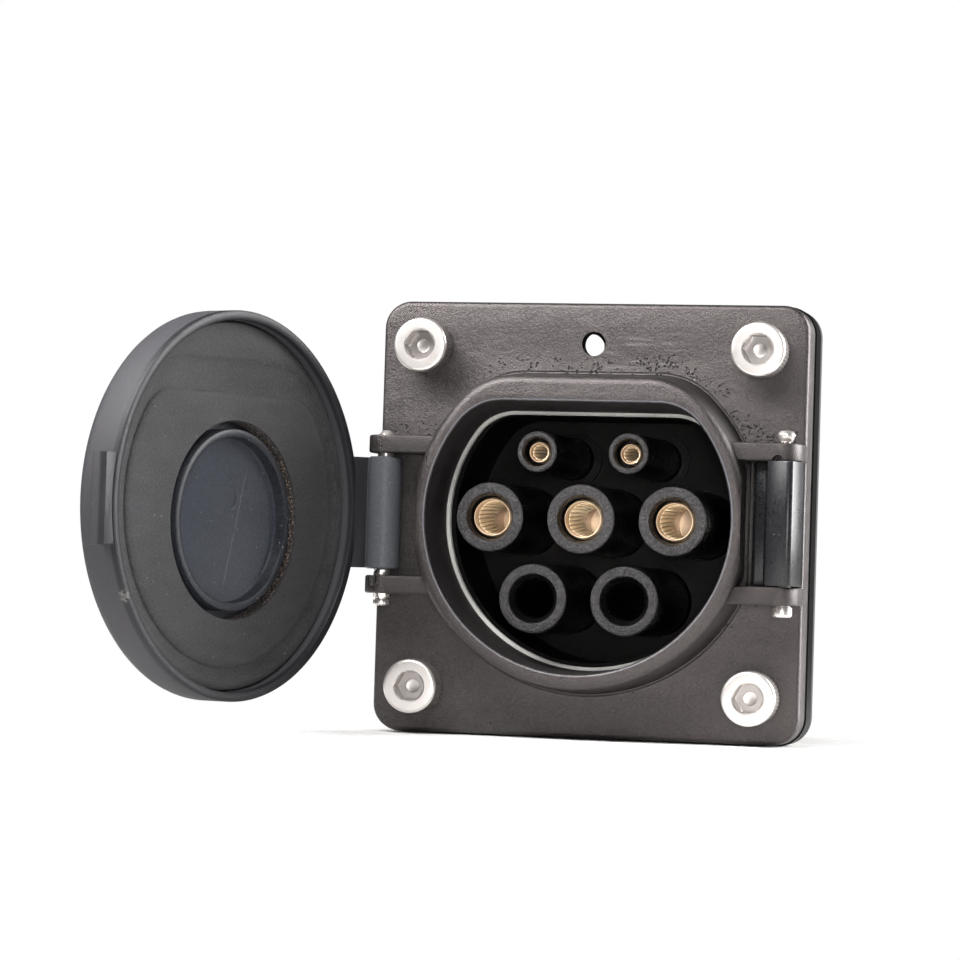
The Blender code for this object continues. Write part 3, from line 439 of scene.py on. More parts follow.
def lidSpot(flow, spot):
    # coordinates as they are with the lid closed, so that its marks turn with it
    return flow.node("VectorRotate", {"rotation_type": "Z_AXIS"},
                     {"Vector": spot, "Center": (hingeX, -stack["pin"], 0.0), "Angle": math.radians(-lidAngle)})


def dAway(flow, size, x, z, radius):
    # how far a spot lies outside a D outline
    rise, lean = size["flat"] - size["corner"], size["radius"] - size["corner"]
    reach = math.sqrt(lean ** 2 - rise ** 2)
    side = flow.maths("ABSOLUTE", x)
    out = flow.maths("MAXIMUM", side - reach, 0.0)
    up = flow.maths("MAXIMUM", z - rise, 0.0)
    corner = (out ** 2 + up ** 2) ** 0.5 - size["corner"]
    top = flow.maths("GREATER_THAN", z * reach, side * rise)
    return corner * top + (radius - size["radius"]) * (1.0 - top)


def castCoat():
    look = {"dark": (0.0040, 0.0036, 0.0036), "light": (0.036, 0.0325, 0.0315), "roughness": 0.40, "grain": 3.8,
            "patch": 0.13, "pit": 1.5, "scratchTurn": 0.35}
    material, shader, flow, spot = startMaterial("castCoat", Specular_IOR_Level=0.6, Specular_Tint=(1.0, 0.89, 0.88))
    x, depth, z = spot.part("X"), 0 - spot.part("Y"), spot.part("Z")
    patch = flow.noise(spot, look["patch"], 5.0, 0.6)
    grain = flow.noise(spot, look["grain"], 3.0, 0.65)
    cloud = flow.noise(flow.stretch(spot, (0.24, 0.3, 0.34), 0.5), 1.0, 5.0, 0.6)
    # paintedGlint: sparse light specks in the base colour, painted glints standing in for the satin coat's sparkle
    paintedGlint = flow.cells(spot, 0.75).between(0.02, 0.08, 1.0, 0.0) * flow.noise(spot, 0.5, 1.0).between(0.50, 0.58)
    radius = (x ** 2 + z ** 2) ** 0.5
    face = (depth - stack["face"]).between(-0.3, -0.1) * (depth - stack["face"]).between(0.1, 0.3, 1.0, 0.0)
    away = dAway(flow, collarSize, x, z, radius)
    belt = away.between(1.1, 1.5) * away.between(3.0, 5.5, 1.0, 0.0)
    upper = z.between(10.0, 14.0) * x.between(8.0, 16.0)
    crown = z.between(26.6, 27.0) * z.between(28.0, 31.0, 1.0, 0.0)
    crown = crown * x.between(-22.0, -16.0) * x.between(16.0, 24.0, 1.0, 0.0)
    rootEar = z.between(14.5, 15.0) * z.between(16.0, 18.0, 1.0, 0.0) * radius.between(33.0, 34.0)
    rough = flow.noise(spot, 0.45, 3.0).between(0.42, 0.58)
    where = (belt * upper + crown * 0.8 + rootEar * 0.8) * face * rough
    pits = flow.cells(spot, look["pit"]).between(0.14, 0.38, 1.0, 0.0) * where.between(0.12, 0.4)
    lone = flow.cells(spot, 0.42).between(0.05, 0.13, 1.0, 0.0) * flow.noise(spot, 0.12, 2.0).between(0.54, 0.60)
    streak = flow.noise(flow.stretch(spot, (0.12, 0.3, 1.6), look["scratchTurn"]), 1.0, 4.0, 0.6)
    streak = streak.between(0.52, 0.66) * face * z.between(26.5, 28.5) * z.between(32.0, 36.0, 1.0, 0.0) \
        * x.between(-2.0, 3.0) * x.between(14.0, 24.0, 1.0, 0.0)
    # creaseAndShade: painted shade darkens the crease where the collar's foot meets the flange face; the same mask also
    # dents the bump there
    creaseAndShade = away.between(0.55, 0.95) * away.between(1.15, 1.45, 1.0, 0.0) * depth.between(14.6, 14.9, 1.0, 0.0)
    cover = grain.between(0.36, 0.66) * (0.35 + patch * 0.7) + (cloud - 0.5) * 0.3
    tone = flow.mix(cover, look["dark"], look["light"])
    mouth = dAway(flow, mouthSize, x, z, radius)
    # shadedMouthWall: painted shade, near black on the shroud mouth's inner wall behind its lip; it is also made
    # rougher
    shadedMouthWall = mouth.between(0.6, 0.9, 1.0, 0.0) * depth.between(24.2, 24.8, 1.0, 0.0)
    # shadedFlank: painted shade, near black on the collar's outer wall between the flange face and the collar front; it
    # is also made rougher
    shadedFlank = away.between(-0.3, 0.1) * depth.between(14.2, 14.5) * depth.between(23.4, 24.2, 1.0, 0.0)
    shadedFlank = shadedFlank * radius.between(38.5, 39.0, 1.0, 0.0)
    # painted highlight: lip marks a thin light bluish band just inside the mouth's front edge, standing in for the
    # edge's glint, and makes it a little glossier
    lip = mouth.between(0.2, 0.32) * mouth.between(0.4, 0.52, 1.0, 0.0) * depth.between(24.6, 24.9)
    tone = flow.mix(shadedMouthWall * 0.9, tone, (0.0015, 0.0015, 0.0017))
    tone = flow.mix(shadedFlank * 0.7 + creaseAndShade * 0.8, tone, (0.002, 0.002, 0.002))
    tone = flow.mix(lip * 0.6, tone, (0.10, 0.11, 0.13))
    tone = flow.mix(paintedGlint * 0.5, tone, (0.16, 0.15, 0.145))
    tone = flow.mix(streak * 0.5, tone, (0.10, 0.095, 0.09))
    tone = flow.mix(flow.maths("MAXIMUM", pits, lone), tone, (0.002, 0.002, 0.002))
    gloss = look["roughness"] + (grain - 0.5) * 0.30 + (cloud - 0.5) * 0.30 - streak * 0.06
    gloss = gloss + (shadedFlank + shadedMouthWall) * 0.2 - lip * 0.05
    height = grain * 0.8 + cloud * 1.3 + patch * 0.8 - pits * 2.2 - lone * 1.2 - creaseAndShade * 0.8
    relief = flow.bump(height, 1.0, 0.00012)
    return finish(material, shader, flow, Base_Color=tone, Roughness=gloss, Normal=relief)


def mouldedPlastic(name, dark, light, roughness, level=0.5, grain=3.0, bump=0.25, dusty=0.3, turnedOpen=False):
    material, shader, flow, spot = startMaterial(name, Specular_IOR_Level=level)
    if turnedOpen:
        spot = lidSpot(flow, spot)
    cloud = flow.noise(spot, 0.11, 4.0)
    fine = flow.noise(spot, grain, 3.0, 0.65)
    dust = flow.cells(spot, 0.6).between(0.03, 0.09, 1.0, 0.0) * flow.noise(spot, 0.25, 1.0).between(0.48, 0.55)
    scuff = flow.noise(flow.node("Mapping", None, {"Vector": spot, "Scale": (0.5, 6.0, 0.35), "Rotation": (0.3, 0.7, 0.5)}),
                       1.0, 3.0).between(0.60, 0.78)
    tone = flow.mix(fine.between(0.36, 0.66) * 0.7 + (cloud - 0.5) * 0.5 + 0.1, dark, light)
    tone = flow.mix(dust * dusty, tone, (0.34, 0.33, 0.32))
    height = fine + scuff * 0.4
    if turnedOpen:
        mark, dent, worn = lidMarks(flow, spot)
        tone = flow.mix(mark * 0.55, tone, (0.16, 0.16, 0.17))
        x, depth = spot.part("X"), 0 - spot.part("Y")
        # painted highlight: barrel lightens the hinge barrel to a bluish grey, standing in for its satin sheen
        barrel = (((x - hingeX) ** 2 + (depth - stack["pin"]) ** 2) ** 0.5).between(3.15, 3.4, 1.0, 0.0)
        tone = flow.mix(barrel * (0.25 + fine * 0.4), tone, (0.10, 0.105, 0.115))
        outside = ((x ** 2 + spot.part("Z") ** 2) ** 0.5).between(32.2, 32.9) * (1.0 - barrel)
        rimBand = outside * depth.between(24.0, 24.6, 1.0, 0.0)
        tone = flow.mix(outside * 0.7, tone, (0.042, 0.040, 0.043))
        tone = flow.mix(rimBand * 0.8, tone, (0.006, 0.0065, 0.008))
        tone = flow.mix(worn * 0.6, tone, (0.13, 0.125, 0.12))
        floor = depth.between(26.6, 27.0) * depth.between(27.5, 27.8, 1.0, 0.0) * (1.0 - outside)
        tone = flow.mix(floor * (0.3 + fine * 0.5), tone, (0.032, 0.036, 0.046))
        height = height - dent * 3.0
    rough = roughness + (fine - 0.5) * 0.16 + (cloud - 0.5) * 0.12 + scuff * 0.06
    if turnedOpen:
        rough = rough + outside * 0.2 - rimBand * 0.15
    relief = flow.bump(height, bump, 0.00005)
    return finish(material, shader, flow, Base_Color=tone, Roughness=rough, Normal=relief)


def lidMarks(flow, spot):
    # the long scratch across the cup, a moulding gate mark beside it, and a worn spot on the rim
    x, depth, z = spot.part("X"), 0 - spot.part("Y"), spot.part("Z")
    inCup = depth.between(26.8, 27.0) * depth.between(27.4, 27.7, 1.0, 0.0)
    away = (x * 22.67 + z * 6.17 + 100.2) / 23.5
    along = z.between(-15.0, -13.0) * z.between(5.0, 8.0, 1.0, 0.0)
    waver = (flow.noise(spot, 0.5, 3.0) - 0.5) * 0.5
    scratch = flow.maths("ABSOLUTE", away + waver).between(0.04, 0.13, 1.0, 0.0) * along * inCup
    broken = flow.noise(spot, 0.4, 2.0).between(0.34, 0.50, 0.35, 1.0)
    gate = (((x + 2.2) * 0.9) ** 2 + ((z - 1.6) * 0.55) ** 2) ** 0.5
    gate = gate.between(0.75, 0.95) * gate.between(1.05, 1.30, 1.0, 0.0) * x.between(-3.4, -1.4, 1.0, 0.0) * inCup
    worn = (((x - 30.6) * 1.0) ** 2 + ((z + 16.7) * 0.8) ** 2) ** 0.5
    worn = worn.between(0.7, 1.3, 1.0, 0.0) * depth.between(24.0, 25.0, 1.0, 0.0)
    worn = worn * flow.noise(spot, 1.4, 3.0).between(0.42, 0.55)
    return scratch * broken, gate, worn


def foamSkin():
    look = {"dark": (0.0026, 0.0025, 0.0028), "light": (0.031, 0.0295, 0.0325), "pore": (0.0015, 0.0013, 0.0013)}
    radius, spotX, spotZ = foamSizes["hole"], *foamSizes["holeSpot"]
    material, shader, flow, spot = startMaterial("foamSkin", Specular_IOR_Level=0.22, Sheen_Weight=0.06,
                                                 Sheen_Roughness=0.6)
    spot = lidSpot(flow, spot)
    x, depth, z = spot.part("X") - spotX, 0 - spot.part("Y"), spot.part("Z") - spotZ
    wall = ((x ** 2 + z ** 2) ** 0.5).between(radius + 0.05, radius + 0.2, 1.0, 0.0)
    wall = wall * depth.between(stack["foamFace"] + 0.15, stack["foamFace"] + 0.4)
    cloud = flow.noise(spot, 0.09, 3.0)
    fine = flow.noise(spot, 2.4, 5.0, 0.75)
    drag = flow.noise(flow.stretch(spot, (0.15, 1.0, 0.5), 0.3), 1.0, 4.0)
    pores = flow.cells(spot, 2.4).between(0.10, 0.26, 1.0, 0.0)
    gaps = flow.cells(spot, 3.2).between(0.16, 0.36, 1.0, 0.0)
    specks = flow.cells(spot, 0.55).between(0.02, 0.08, 1.0, 0.0) * flow.noise(spot, 0.3, 1.0).between(0.46, 0.54)
    cover = fine.between(0.36, 0.66) * 0.65 + (cloud - 0.3) * 0.5 + (drag - 0.5) * 0.5
    tone = flow.mix(cover, look["dark"], look["light"])
    tone = flow.mix(pores * 0.3, tone, look["pore"])
    tone = flow.mix(specks * 0.6, tone, (0.30, 0.29, 0.28))
    torn = flow.mix(fine.between(0.50, 0.66), (0.012, 0.009, 0.008), (0.36, 0.28, 0.23))
    tone = flow.mix(wall, tone, flow.mix(gaps, torn, (0.001, 0.001, 0.001)))
    height = fine - pores * 0.6 - wall * gaps * 3.0
    relief = flow.bump(height, 0.8, 0.00014)
    return finish(material, shader, flow, Base_Color=tone, Roughness=0.72 + (fine - 0.5) * 0.3, Normal=relief)


def rubberSkin(name, dark, light, roughness):
    material, shader, flow, spot = startMaterial(name, Specular_IOR_Level=0.35)
    cloud = flow.noise(spot, 0.25, 4.0)
    fine = flow.noise(spot, 4.0, 3.0)
    tone = flow.mix(cloud * 0.6 + fine * 0.4, dark, light)
    relief = flow.bump(fine, 0.2, 0.00004)
    return finish(material, shader, flow, Base_Color=tone, Roughness=roughness + (fine - 0.5) * 0.15, Normal=relief)


def towerPlastic():
    # side is a near-black tone painted as shade on the tower walls down in the cup; face is the lighter tone kept to
    # the front face by the nose mask
    look = {"side": (0.0015, 0.0014, 0.0014), "face": (0.043, 0.040, 0.0415), "grain": 3.0}
    material, shader, flow, spot = startMaterial("towerPlastic", Specular_IOR_Level=0.3)
    depth = 0 - spot.part("Y")
    nose = depth.between(stack["towerFront"] - 0.5, stack["towerFront"] - 0.1)
    fine = flow.noise(spot, look["grain"], 4.0, 0.75)
    patch = flow.noise(spot, 0.5, 4.0)
    rub = flow.noise(flow.stretch(spot, (0.9, 0.3, 3.0), 0.8), 1.0, 3.0)
    tone = flow.mix(nose * fine.between(0.42, 0.60), look["side"], look["face"])
    tone = flow.mix(fine.between(0.58, 0.68) * nose * 0.30, tone, (0.12, 0.112, 0.114))
    tone = flow.mix(rub.between(0.60, 0.72) * nose * 0.30, tone, (0.10, 0.095, 0.10))
    gloss = 0.30 + nose * 0.12 + (fine - 0.5) * 0.35 + (patch - 0.5) * 0.15
    relief = flow.bump((fine + rub * 0.4) * nose, 1.0, 0.00030)
    return finish(material, shader, flow, Base_Color=tone, Roughness=gloss, Normal=relief)


def turnedMetal(name, dark, light, roughness, metallic=1.0):
    material, shader, flow, spot = startMaterial(name, Metallic=metallic)
    cloud = flow.noise(spot, 0.35, 4.0)
    drawn = flow.noise(flow.stretch(spot, (1.0, 9.0, 1.0)), 1.2, 3.0)
    tone = flow.mix(cloud * 0.6 + drawn * 0.4, dark, light)
    rough = roughness + (drawn - 0.5) * 0.14 + (cloud - 0.5) * 0.12
    relief = flow.bump(drawn, 0.18, 0.00003)
    return finish(material, shader, flow, Base_Color=tone, Roughness=rough, Normal=relief)


def screwSteel():
    # bright ring; painted shade darkens the hex walls, greys the socket floor, darkens a ring at the drill mark's edge
    # and darkens the knurled side
    look = {"bright": (0.66, 0.62, 0.595), "wall": (0.26, 0.235, 0.22), "floor": (0.58, 0.54, 0.515), "roughness": 0.34}
    material, shader, flow, spot = startMaterial("screwSteel", Metallic=0.8)
    depth = 0 - spot.part("Y")
    across = spot.part("X").maths("ABSOLUTE", spot.part("X")) - screwSpots["top_right"][0]
    along = spot.part("Z").maths("ABSOLUTE", spot.part("Z")) - screwSpots["top_right"][1]
    radius = (across ** 2 + along ** 2) ** 0.5
    cloud = flow.noise(spot, 0.5, 4.0)
    fine = flow.noise(spot, 3.0, 3.0)
    # paintedSocketShade: the hex walls below the top are painted dark as shade in the socket
    paintedSocketShade = depth.between(20.0, 20.25, 1.0, 0.0) * radius.between(3.0, 3.1, 1.0, 0.0)
    base = depth.between(17.3, 17.5, 1.0, 0.0) * radius.between(3.0, 3.1, 1.0, 0.0)
    mark = (radius - 1.3).maths("ABSOLUTE", radius - 1.3).between(0.08, 0.2, 1.0, 0.0) * base
    tone = flow.mix(cloud * 0.25 + fine * 0.1, look["bright"], (0.52, 0.485, 0.46))
    tone = flow.mix(paintedSocketShade, tone, look["wall"])
    tone = flow.mix(base, tone, look["floor"])
    tone = flow.mix(mark * 0.6, tone, look["wall"])
    # painted shade: the knurled side band of the head is darkened
    knurl = depth.between(19.6, 19.9, 1.0, 0.0) * radius.between(4.5, 4.7)
    tone = flow.mix(knurl * 0.55, tone, (0.12, 0.11, 0.105))
    relief = flow.bump(fine, 0.1, 0.00003)
    gloss = look["roughness"] + (cloud - 0.5) * 0.1
    return finish(material, shader, flow, Base_Color=tone, Roughness=gloss, Normal=relief)


coat = castCoat()
cupPlastic = mouldedPlastic("cupPlastic", (0.0008, 0.0007, 0.0007), (0.0032, 0.0026, 0.0022), 0.40, 0.07,
                            grain=1.5, bump=0.15, dusty=0.03)
lidPlastic = mouldedPlastic("lidPlastic", (0.0050, 0.0054, 0.0068), (0.024, 0.0258, 0.0315), 0.38, 0.17,
                            bump=0.8, dusty=0.7, turnedOpen=True)
latchPlastic = mouldedPlastic("latchPlastic", (0.005, 0.005, 0.0058), (0.012, 0.012, 0.014), 0.30, 0.35, 2.0, 0.25)
sleevePlastic = towerPlastic()
foam = foamSkin()
paleRubber = rubberSkin("paleRubber", (0.40, 0.395, 0.37), (0.55, 0.54, 0.51), 0.5)
blackRubber = rubberSkin("blackRubber", (0.010, 0.010, 0.010), (0.030, 0.029, 0.028), 0.7)
brass = turnedMetal("turnedBrass", (0.70, 0.51, 0.34), (0.82, 0.63, 0.44), 0.36, 0.4)
stripBrass = turnedMetal("stripBrass", (0.95, 0.78, 0.56), (0.99, 0.88, 0.68), 0.42, 0.1)
stainless = turnedMetal("stainless", (0.58, 0.54, 0.515), (0.74, 0.695, 0.665), 0.29, 0.85)
screwMetal = screwSteel()
springSteel = turnedMetal("springSteel", (0.04, 0.04, 0.04), (0.10, 0.10, 0.10), 0.4)
print("materials made")


# front frame: flange, shroud and ears in one casting

castSizes = {"side": 80.0, "corner": 5.0, "edge": 0.9, "draft": 0.8, "foot": 0.3, "collarEdge": 1.7,
             "mouthDraft": 0.5, "mouthEdge": 0.5, "earLow": 11.3, "earHigh": 14.6, "earTop": 22.7,
             "earRound": 3.3, "hingeReach": 40.6, "latchReach": 40.0, "screwHole": 3.4, "drainHole": 2.25,
             "drainHeight": 32.5, "sideFlat": 30.0, "pinHole": 1.8}


def castEar(values, side, low, high):
    reach = values["hingeReach"] if side < 0 else values["latchReach"]
    step = max(reach - values["side"] / 2, 0.0)
    root, top, inner = stack["face"] - 2.2, values["earTop"], 21.7
    outer = reach - values["earRound"]
    spots = [(side * inner, root), (side * (reach - step * 2), root), (side * reach, stack["face"] + step * 2),
             (side * reach, stack["pin"]), (side * outer, stack["pin"], -90.0 * side, 10), (side * inner, top)]
    return extruded(spots, low, high, 0.4, 3)


def makeFrontFrame(values):
    plate = squarePlate(values["side"], stack["frameBack"], stack["face"], values["corner"])
    front = -stack["face"]
    rim = [edge for edge in plate.edges if all(abs(vert.co.y - front) < 0.001 for vert in edge.verts)]
    bmesh.ops.bevel(plate, geom=rim, offset=values["edge"], segments=4, profile=0.5, affect="EDGES", material=-1)
    draft, foot = values["draft"], values["foot"]
    rings = [(draft + foot, stack["face"] - 3.0)]
    rings += [(draft + inset, stack["face"] + foot - rise) for inset, rise in reversed(rounding(foot, 4))]
    top = stack["collarFront"] - values["collarEdge"]
    rings += [(-inset, top + rise) for inset, rise in rounding(values["collarEdge"], 6)]
    collar = dSolid(collarSize, rings)
    ears = [castEar(values, side, low, high) for side in (-1, 1)
            for low, high in ((values["earLow"], values["earHigh"]), (-values["earHigh"], -values["earLow"]))]
    lip = stack["collarFront"] - values["mouthEdge"]
    rings = [(innerSize, -values["mouthDraft"], depth) for depth in (0.0, stack["sealStep"])]
    rings += [(inset, lip + rise) for inset, rise in rounding(values["mouthEdge"], 4)]
    rings.append((values["mouthEdge"], stack["collarFront"] + 1.0))
    mouth = dSolid(mouthSize, rings)
    seat = dSolid(mouthSize, [(2.0, 0.0), (2.0, stack["sealStep"])])
    flats = [block((min(a, b), stack["face"], -11.3), (max(a, b), 50.0, 11.3))
             for a, b in ((-46.5, -values["sideFlat"]), (values["sideFlat"], 46.5))]
    holes = plugs(screwSpots.values(), values["screwHole"], 0.0, 20.0)
    drain = plugs([(0.0, values["drainHeight"])], values["drainHole"], 0.0, 20.0)
    wide = plugs([(-1.2, values["drainHeight"])], values["drainHole"] + 0.5, 0.0, stack["face"] - 3.4)
    bores = [uprightPlug(x, values["pinHole"], -20.0, 20.0) for x in (hingeX, latchX)]
    notch = block((hingeX - 1.84, stack["pin"] + 1.95, -13.3), (hingeX + 0.46, 40.0, -8.0))
    relief = plugs([(latchX - 1.0, 11.3)], 1.1, stack["face"] + 6.6, 40.0, 24)
    bm = combine(plate, ("UNION", collar, *ears), ("DIFFERENCE", mouth, seat, *flats, holes, drain, wide, *bores,
                                                  notch, relief))
    return place("castFrontFrame", bm, coat, "root", ["front_frame"], 32.0)


makeFrontFrame(castSizes)
print("front frame made")


# shroud gasket and contact carrier

cupSizes = {"side": 80.6, "corner": 5.3, "sheet": 2.0, "outset": 1.7, "inset": 1.8, "skirtWall": 2.5, "bossRadius": 5.6,
            "bossRise": 0.8, "post": 3.2, "powerHole": 6.65, "signalHole": 4.1, "postHole": 1.8}


def makeShroudGasket():
    front, back = stack["sealFront"], stack["sealBack"]
    rings = [(mouthSize, 1.7, back), (mouthSize, 1.7, front), (innerSize, -0.9, front), (innerSize, -1.1, front - 0.2),
             (innerSize, -1.1, back + 0.2), (innerSize, -0.9, back)]
    place("shroudSeal", dSolid(mouthSize, rings, True), paleRubber, "root", ["shroud_gasket"])


def makePanelGasket(values):
    plate = squarePlate(values["side"], 0.0, values["sheet"], values["corner"])
    opening = dSolid(mouthSize, [(values["outset"], -5.0), (values["outset"], 5.0)])
    holes = plugs(screwSpots.values(), 3.4, -5.0, 5.0)
    vent = plugs([(-3.2, 32.5)], 2.8, -5.0, 5.0)
    bm = combine(plate, ("DIFFERENCE", opening, holes, vent))
    place("panelSeal", bm, blackRubber, "root", ["panel_gasket"], 32.0)


def makeCarrier(values):
    plate = squarePlate(values["side"], stack["carrierBack"], stack["carrierFront"], values["corner"])
    body = dSolid(mouthSize, [(values["outset"], stack["skirtBack"]), (values["outset"], stack["cupFront"])])
    hollow = dSolid(mouthSize, [(-values["inset"], stack["floorFront"]), (-values["inset"], 30.0)])
    rear = dSolid(mouthSize, [(values["outset"] - values["skirtWall"], -60.0),
                              (values["outset"] - values["skirtWall"], stack["floorBack"])])
    middle = (stack["floorFront"] + stack["floorBack"]) / 2
    bosses = plugs(signalSpots.values(), values["bossRadius"], middle, stack["floorFront"] + values["bossRise"], 64)
    posts = plugs(postSpots, values["post"], stack["sleeveBack"], middle)
    large = plugs([*powerSpots.values(), *spareSpots.values()], values["powerHole"], -40.0, 20.0, 64)
    small = plugs(signalSpots.values(), values["signalHole"], -40.0, 20.0)
    screws = plugs(postSpots, values["postHole"], -40.0, -12.7, 24)
    corners = plugs(screwSpots.values(), 3.4, 0.0, 20.0)
    drain = plugs([(-2.4, 32.5)], 3.0, 0.0, 20.0)
    bm = combine(plate, ("UNION", body), ("DIFFERENCE", hollow, rear), ("UNION", bosses, posts),
                 ("DIFFERENCE", large, small, screws, corners, drain))
    place("contactCup", bm, cupPlastic, "root", ["contact_carrier"], 32.0)


makeShroudGasket()
makePanelGasket(cupSizes)
makeCarrier(cupSizes)
print("carrier made")


# towers, contacts and their crown springs

towerSizes = {
    "power": {"outer": 6.35, "nose": 0.5, "bore": 4.0, "mouth": 4.45, "cone": 0.9, "collar": 5.4, "foot": 7.6},
    "spare": {"outer": 6.35, "nose": 0.5, "bore": 3.65, "mouth": 4.6, "cone": 1.7, "collar": 5.4, "foot": 7.6},
    "signal": {"outer": 3.8, "nose": 0.6, "bore": 2.6, "mouth": 2.85, "cone": 0.5, "collar": 3.65, "foot": 5.05,
               "seat": 2.25, "ledge": 15.1},
}
contactSizes = {
    "power": {"outer": 3.7, "tip": 3.4, "lip": 3.25, "lipLength": 2.2, "bore": 3.45, "wire": 2.6, "tail": -32.0,
              "collar": 4.8},
    "signal": {"outer": 1.95, "tip": 1.82, "lip": 1.66, "lipLength": 0.7, "bore": 1.7, "wire": 1.1, "tail": -29.0,
               "collar": 3.05},
    "front": 19.1, "floor": -4.9, "collarFront": -15.65, "wireDepth": 10.0,
}
crownSizes = {
    "power": {"radius": 3.12, "waist": 2.42, "strips": 24, "front": 16.6, "length": 13.4, "lean": 0.30},
    "signal": {"radius": 1.42, "waist": 1.15, "strips": 12, "front": 18.1, "length": 13.0, "lean": 0.55},
    "thickness": 0.12, "waistAt": 0.24,
}


def makeTower(name, values, x, height):
    front, back = stack["towerFront"], stack["sleeveBack"]
    outer, nose, bore, mouth = values["outer"], values["nose"], values["bore"], values["mouth"]
    ledge = back + 1.35
    profile = [(outer - inset, front - nose + rise) for inset, rise in reversed(rounding(nose, 6))]
    profile += [(outer, stack["sleeveSeat"]), (values["foot"], stack["sleeveSeat"]), (values["foot"], back)]
    profile += [(values["collar"], back), (values["collar"], ledge)]
    if "seat" in values:
        profile += [(values["seat"], ledge), (values["seat"], values["ledge"]), (bore, values["ledge"])]
    else:
        profile.append((bore, ledge))
    cone = values["cone"]
    profile += [(bore, front - cone), (mouth - 0.06, front - 0.14), (mouth, front - 0.06), (mouth + 0.06, front - 0.02),
                (mouth + 0.16, front)]
    bm = turned(profile, 96, x, height, closed=True)
    return place("tower_" + name, bm, sleevePlastic, "root", [name], 28.0)


def makeContact(name, values, shared, x, height):
    front, back = shared["front"], values["tail"]
    outer, lip, bore = values["outer"], values["lip"], values["bore"]
    soft = (values["tip"] - lip) * 0.4
    profile = [(lip, front - soft), (lip + soft, front), (values["tip"] - soft / 2, front), (values["tip"], front - soft),
               (outer, front - 1.3)]
    profile += [(outer, shared["collarFront"]), (values["collar"], shared["collarFront"])]
    profile += [(values["collar"], stack["sleeveBack"]), (outer, stack["sleeveBack"]), (outer, back + 0.3)]
    profile += [(outer - 0.3, back), (values["wire"], back), (values["wire"], back + shared["wireDepth"]),
                (0.0, back + shared["wireDepth"])]
    inner = [(0.0, shared["floor"]), (bore, shared["floor"]), (bore, front - values["lipLength"]),
             (lip, front - values["lipLength"])]
    bm = turned(inner + profile, 72, x, height)
    return place("brass_" + name, bm, brass, "root", [name], 28.0)


def makeCrown(name, values, shared, x, height):
    # strips between two rings, waisted and leaning a little, cut out of one turned sleeve
    bm = bmesh.new()
    strips, rows, length, low = values["strips"], 16, values["length"], shared["waistAt"]
    bmesh.ops.create_cone(bm, cap_ends=False, segments=strips * 4, radius1=1.0, radius2=1.0, depth=length)
    bmesh.ops.subdivide_edges(bm, cuts=rows - 1, use_grid_fill=True, edges=[
        edge for edge in bm.edges if abs(edge.verts[0].co.z - edge.verts[1].co.z) > 1.0])
    gaps = []
    for face in bm.faces:
        middle = face.calc_center_median()
        share = middle.z / length + 0.5
        column = int((math.degrees(math.atan2(middle.y, middle.x)) % 360.0) / (90.0 / strips))
        if column % 4 == 3 and low + 0.03 < share < 0.97:
            gaps.append(face)
    bmesh.ops.delete(bm, geom=gaps, context="FACES")
    for vert in bm.verts:
        share = vert.co.z / length + 0.5
        if share < low:
            grown = 1 - (1 - share / low) ** 2 if share > 0 else 0.0
            radius = values["radius"] + (values["waist"] - values["radius"]) * grown
        else:
            climb = (share - low) / (1 - low)
            radius = values["waist"] + (values["radius"] - values["waist"]) * (1 - (1 - climb) ** 1.7)
        vert.co = Matrix.Rotation(values["lean"] * (share - 0.5), 3, "Z") @ Vector((
            vert.co.x * radius, vert.co.y * radius, vert.co.z))
    bmesh.ops.rotate(bm, cent=(0, 0, 0), matrix=Matrix.Rotation(math.pi / 2, 3, "X"), verts=bm.verts)
    bmesh.ops.translate(bm, vec=(x, -(values["front"] - length / 2), height), verts=bm.verts)
    bmesh.ops.recalc_face_normals(bm, faces=bm.faces)
    piece = place("strips_" + name, bm, stripBrass, "root", [name], 50.0)
    thick = piece.modifiers.new("stripThickness", "SOLIDIFY")
    thick.thickness, thick.offset = shared["thickness"] * 0.001, 0.0
    return piece


for label, (x, height) in powerSpots.items():
    makeTower("power_sleeve_" + label, towerSizes["power"], x, height)
    makeContact("power_contact_" + label, contactSizes["power"], contactSizes, x, height)
    makeCrown("power_crown_" + label, crownSizes["power"], crownSizes, x, height)
for label, (x, height) in signalSpots.items():
    makeTower("signal_sleeve_" + label, towerSizes["signal"], x, height)
    makeContact("signal_contact_" + label, contactSizes["signal"], contactSizes, x, height)
    makeCrown("signal_crown_" + label, crownSizes["signal"], crownSizes, x, height)
for label, (x, height) in spareSpots.items():
    makeTower("spare_sleeve_" + label, towerSizes["spare"], x, height)
print("contacts made")


# flange screws and pins

screwSizes = {"head": 5.0, "shank": 3.0, "seat": 14.4, "top": 20.4, "tip": -10.6, "round": 0.7, "hex": 2.887,
              "socket": 3.0, "drill": 1.3, "ridges": 44, "knurl": 0.14}


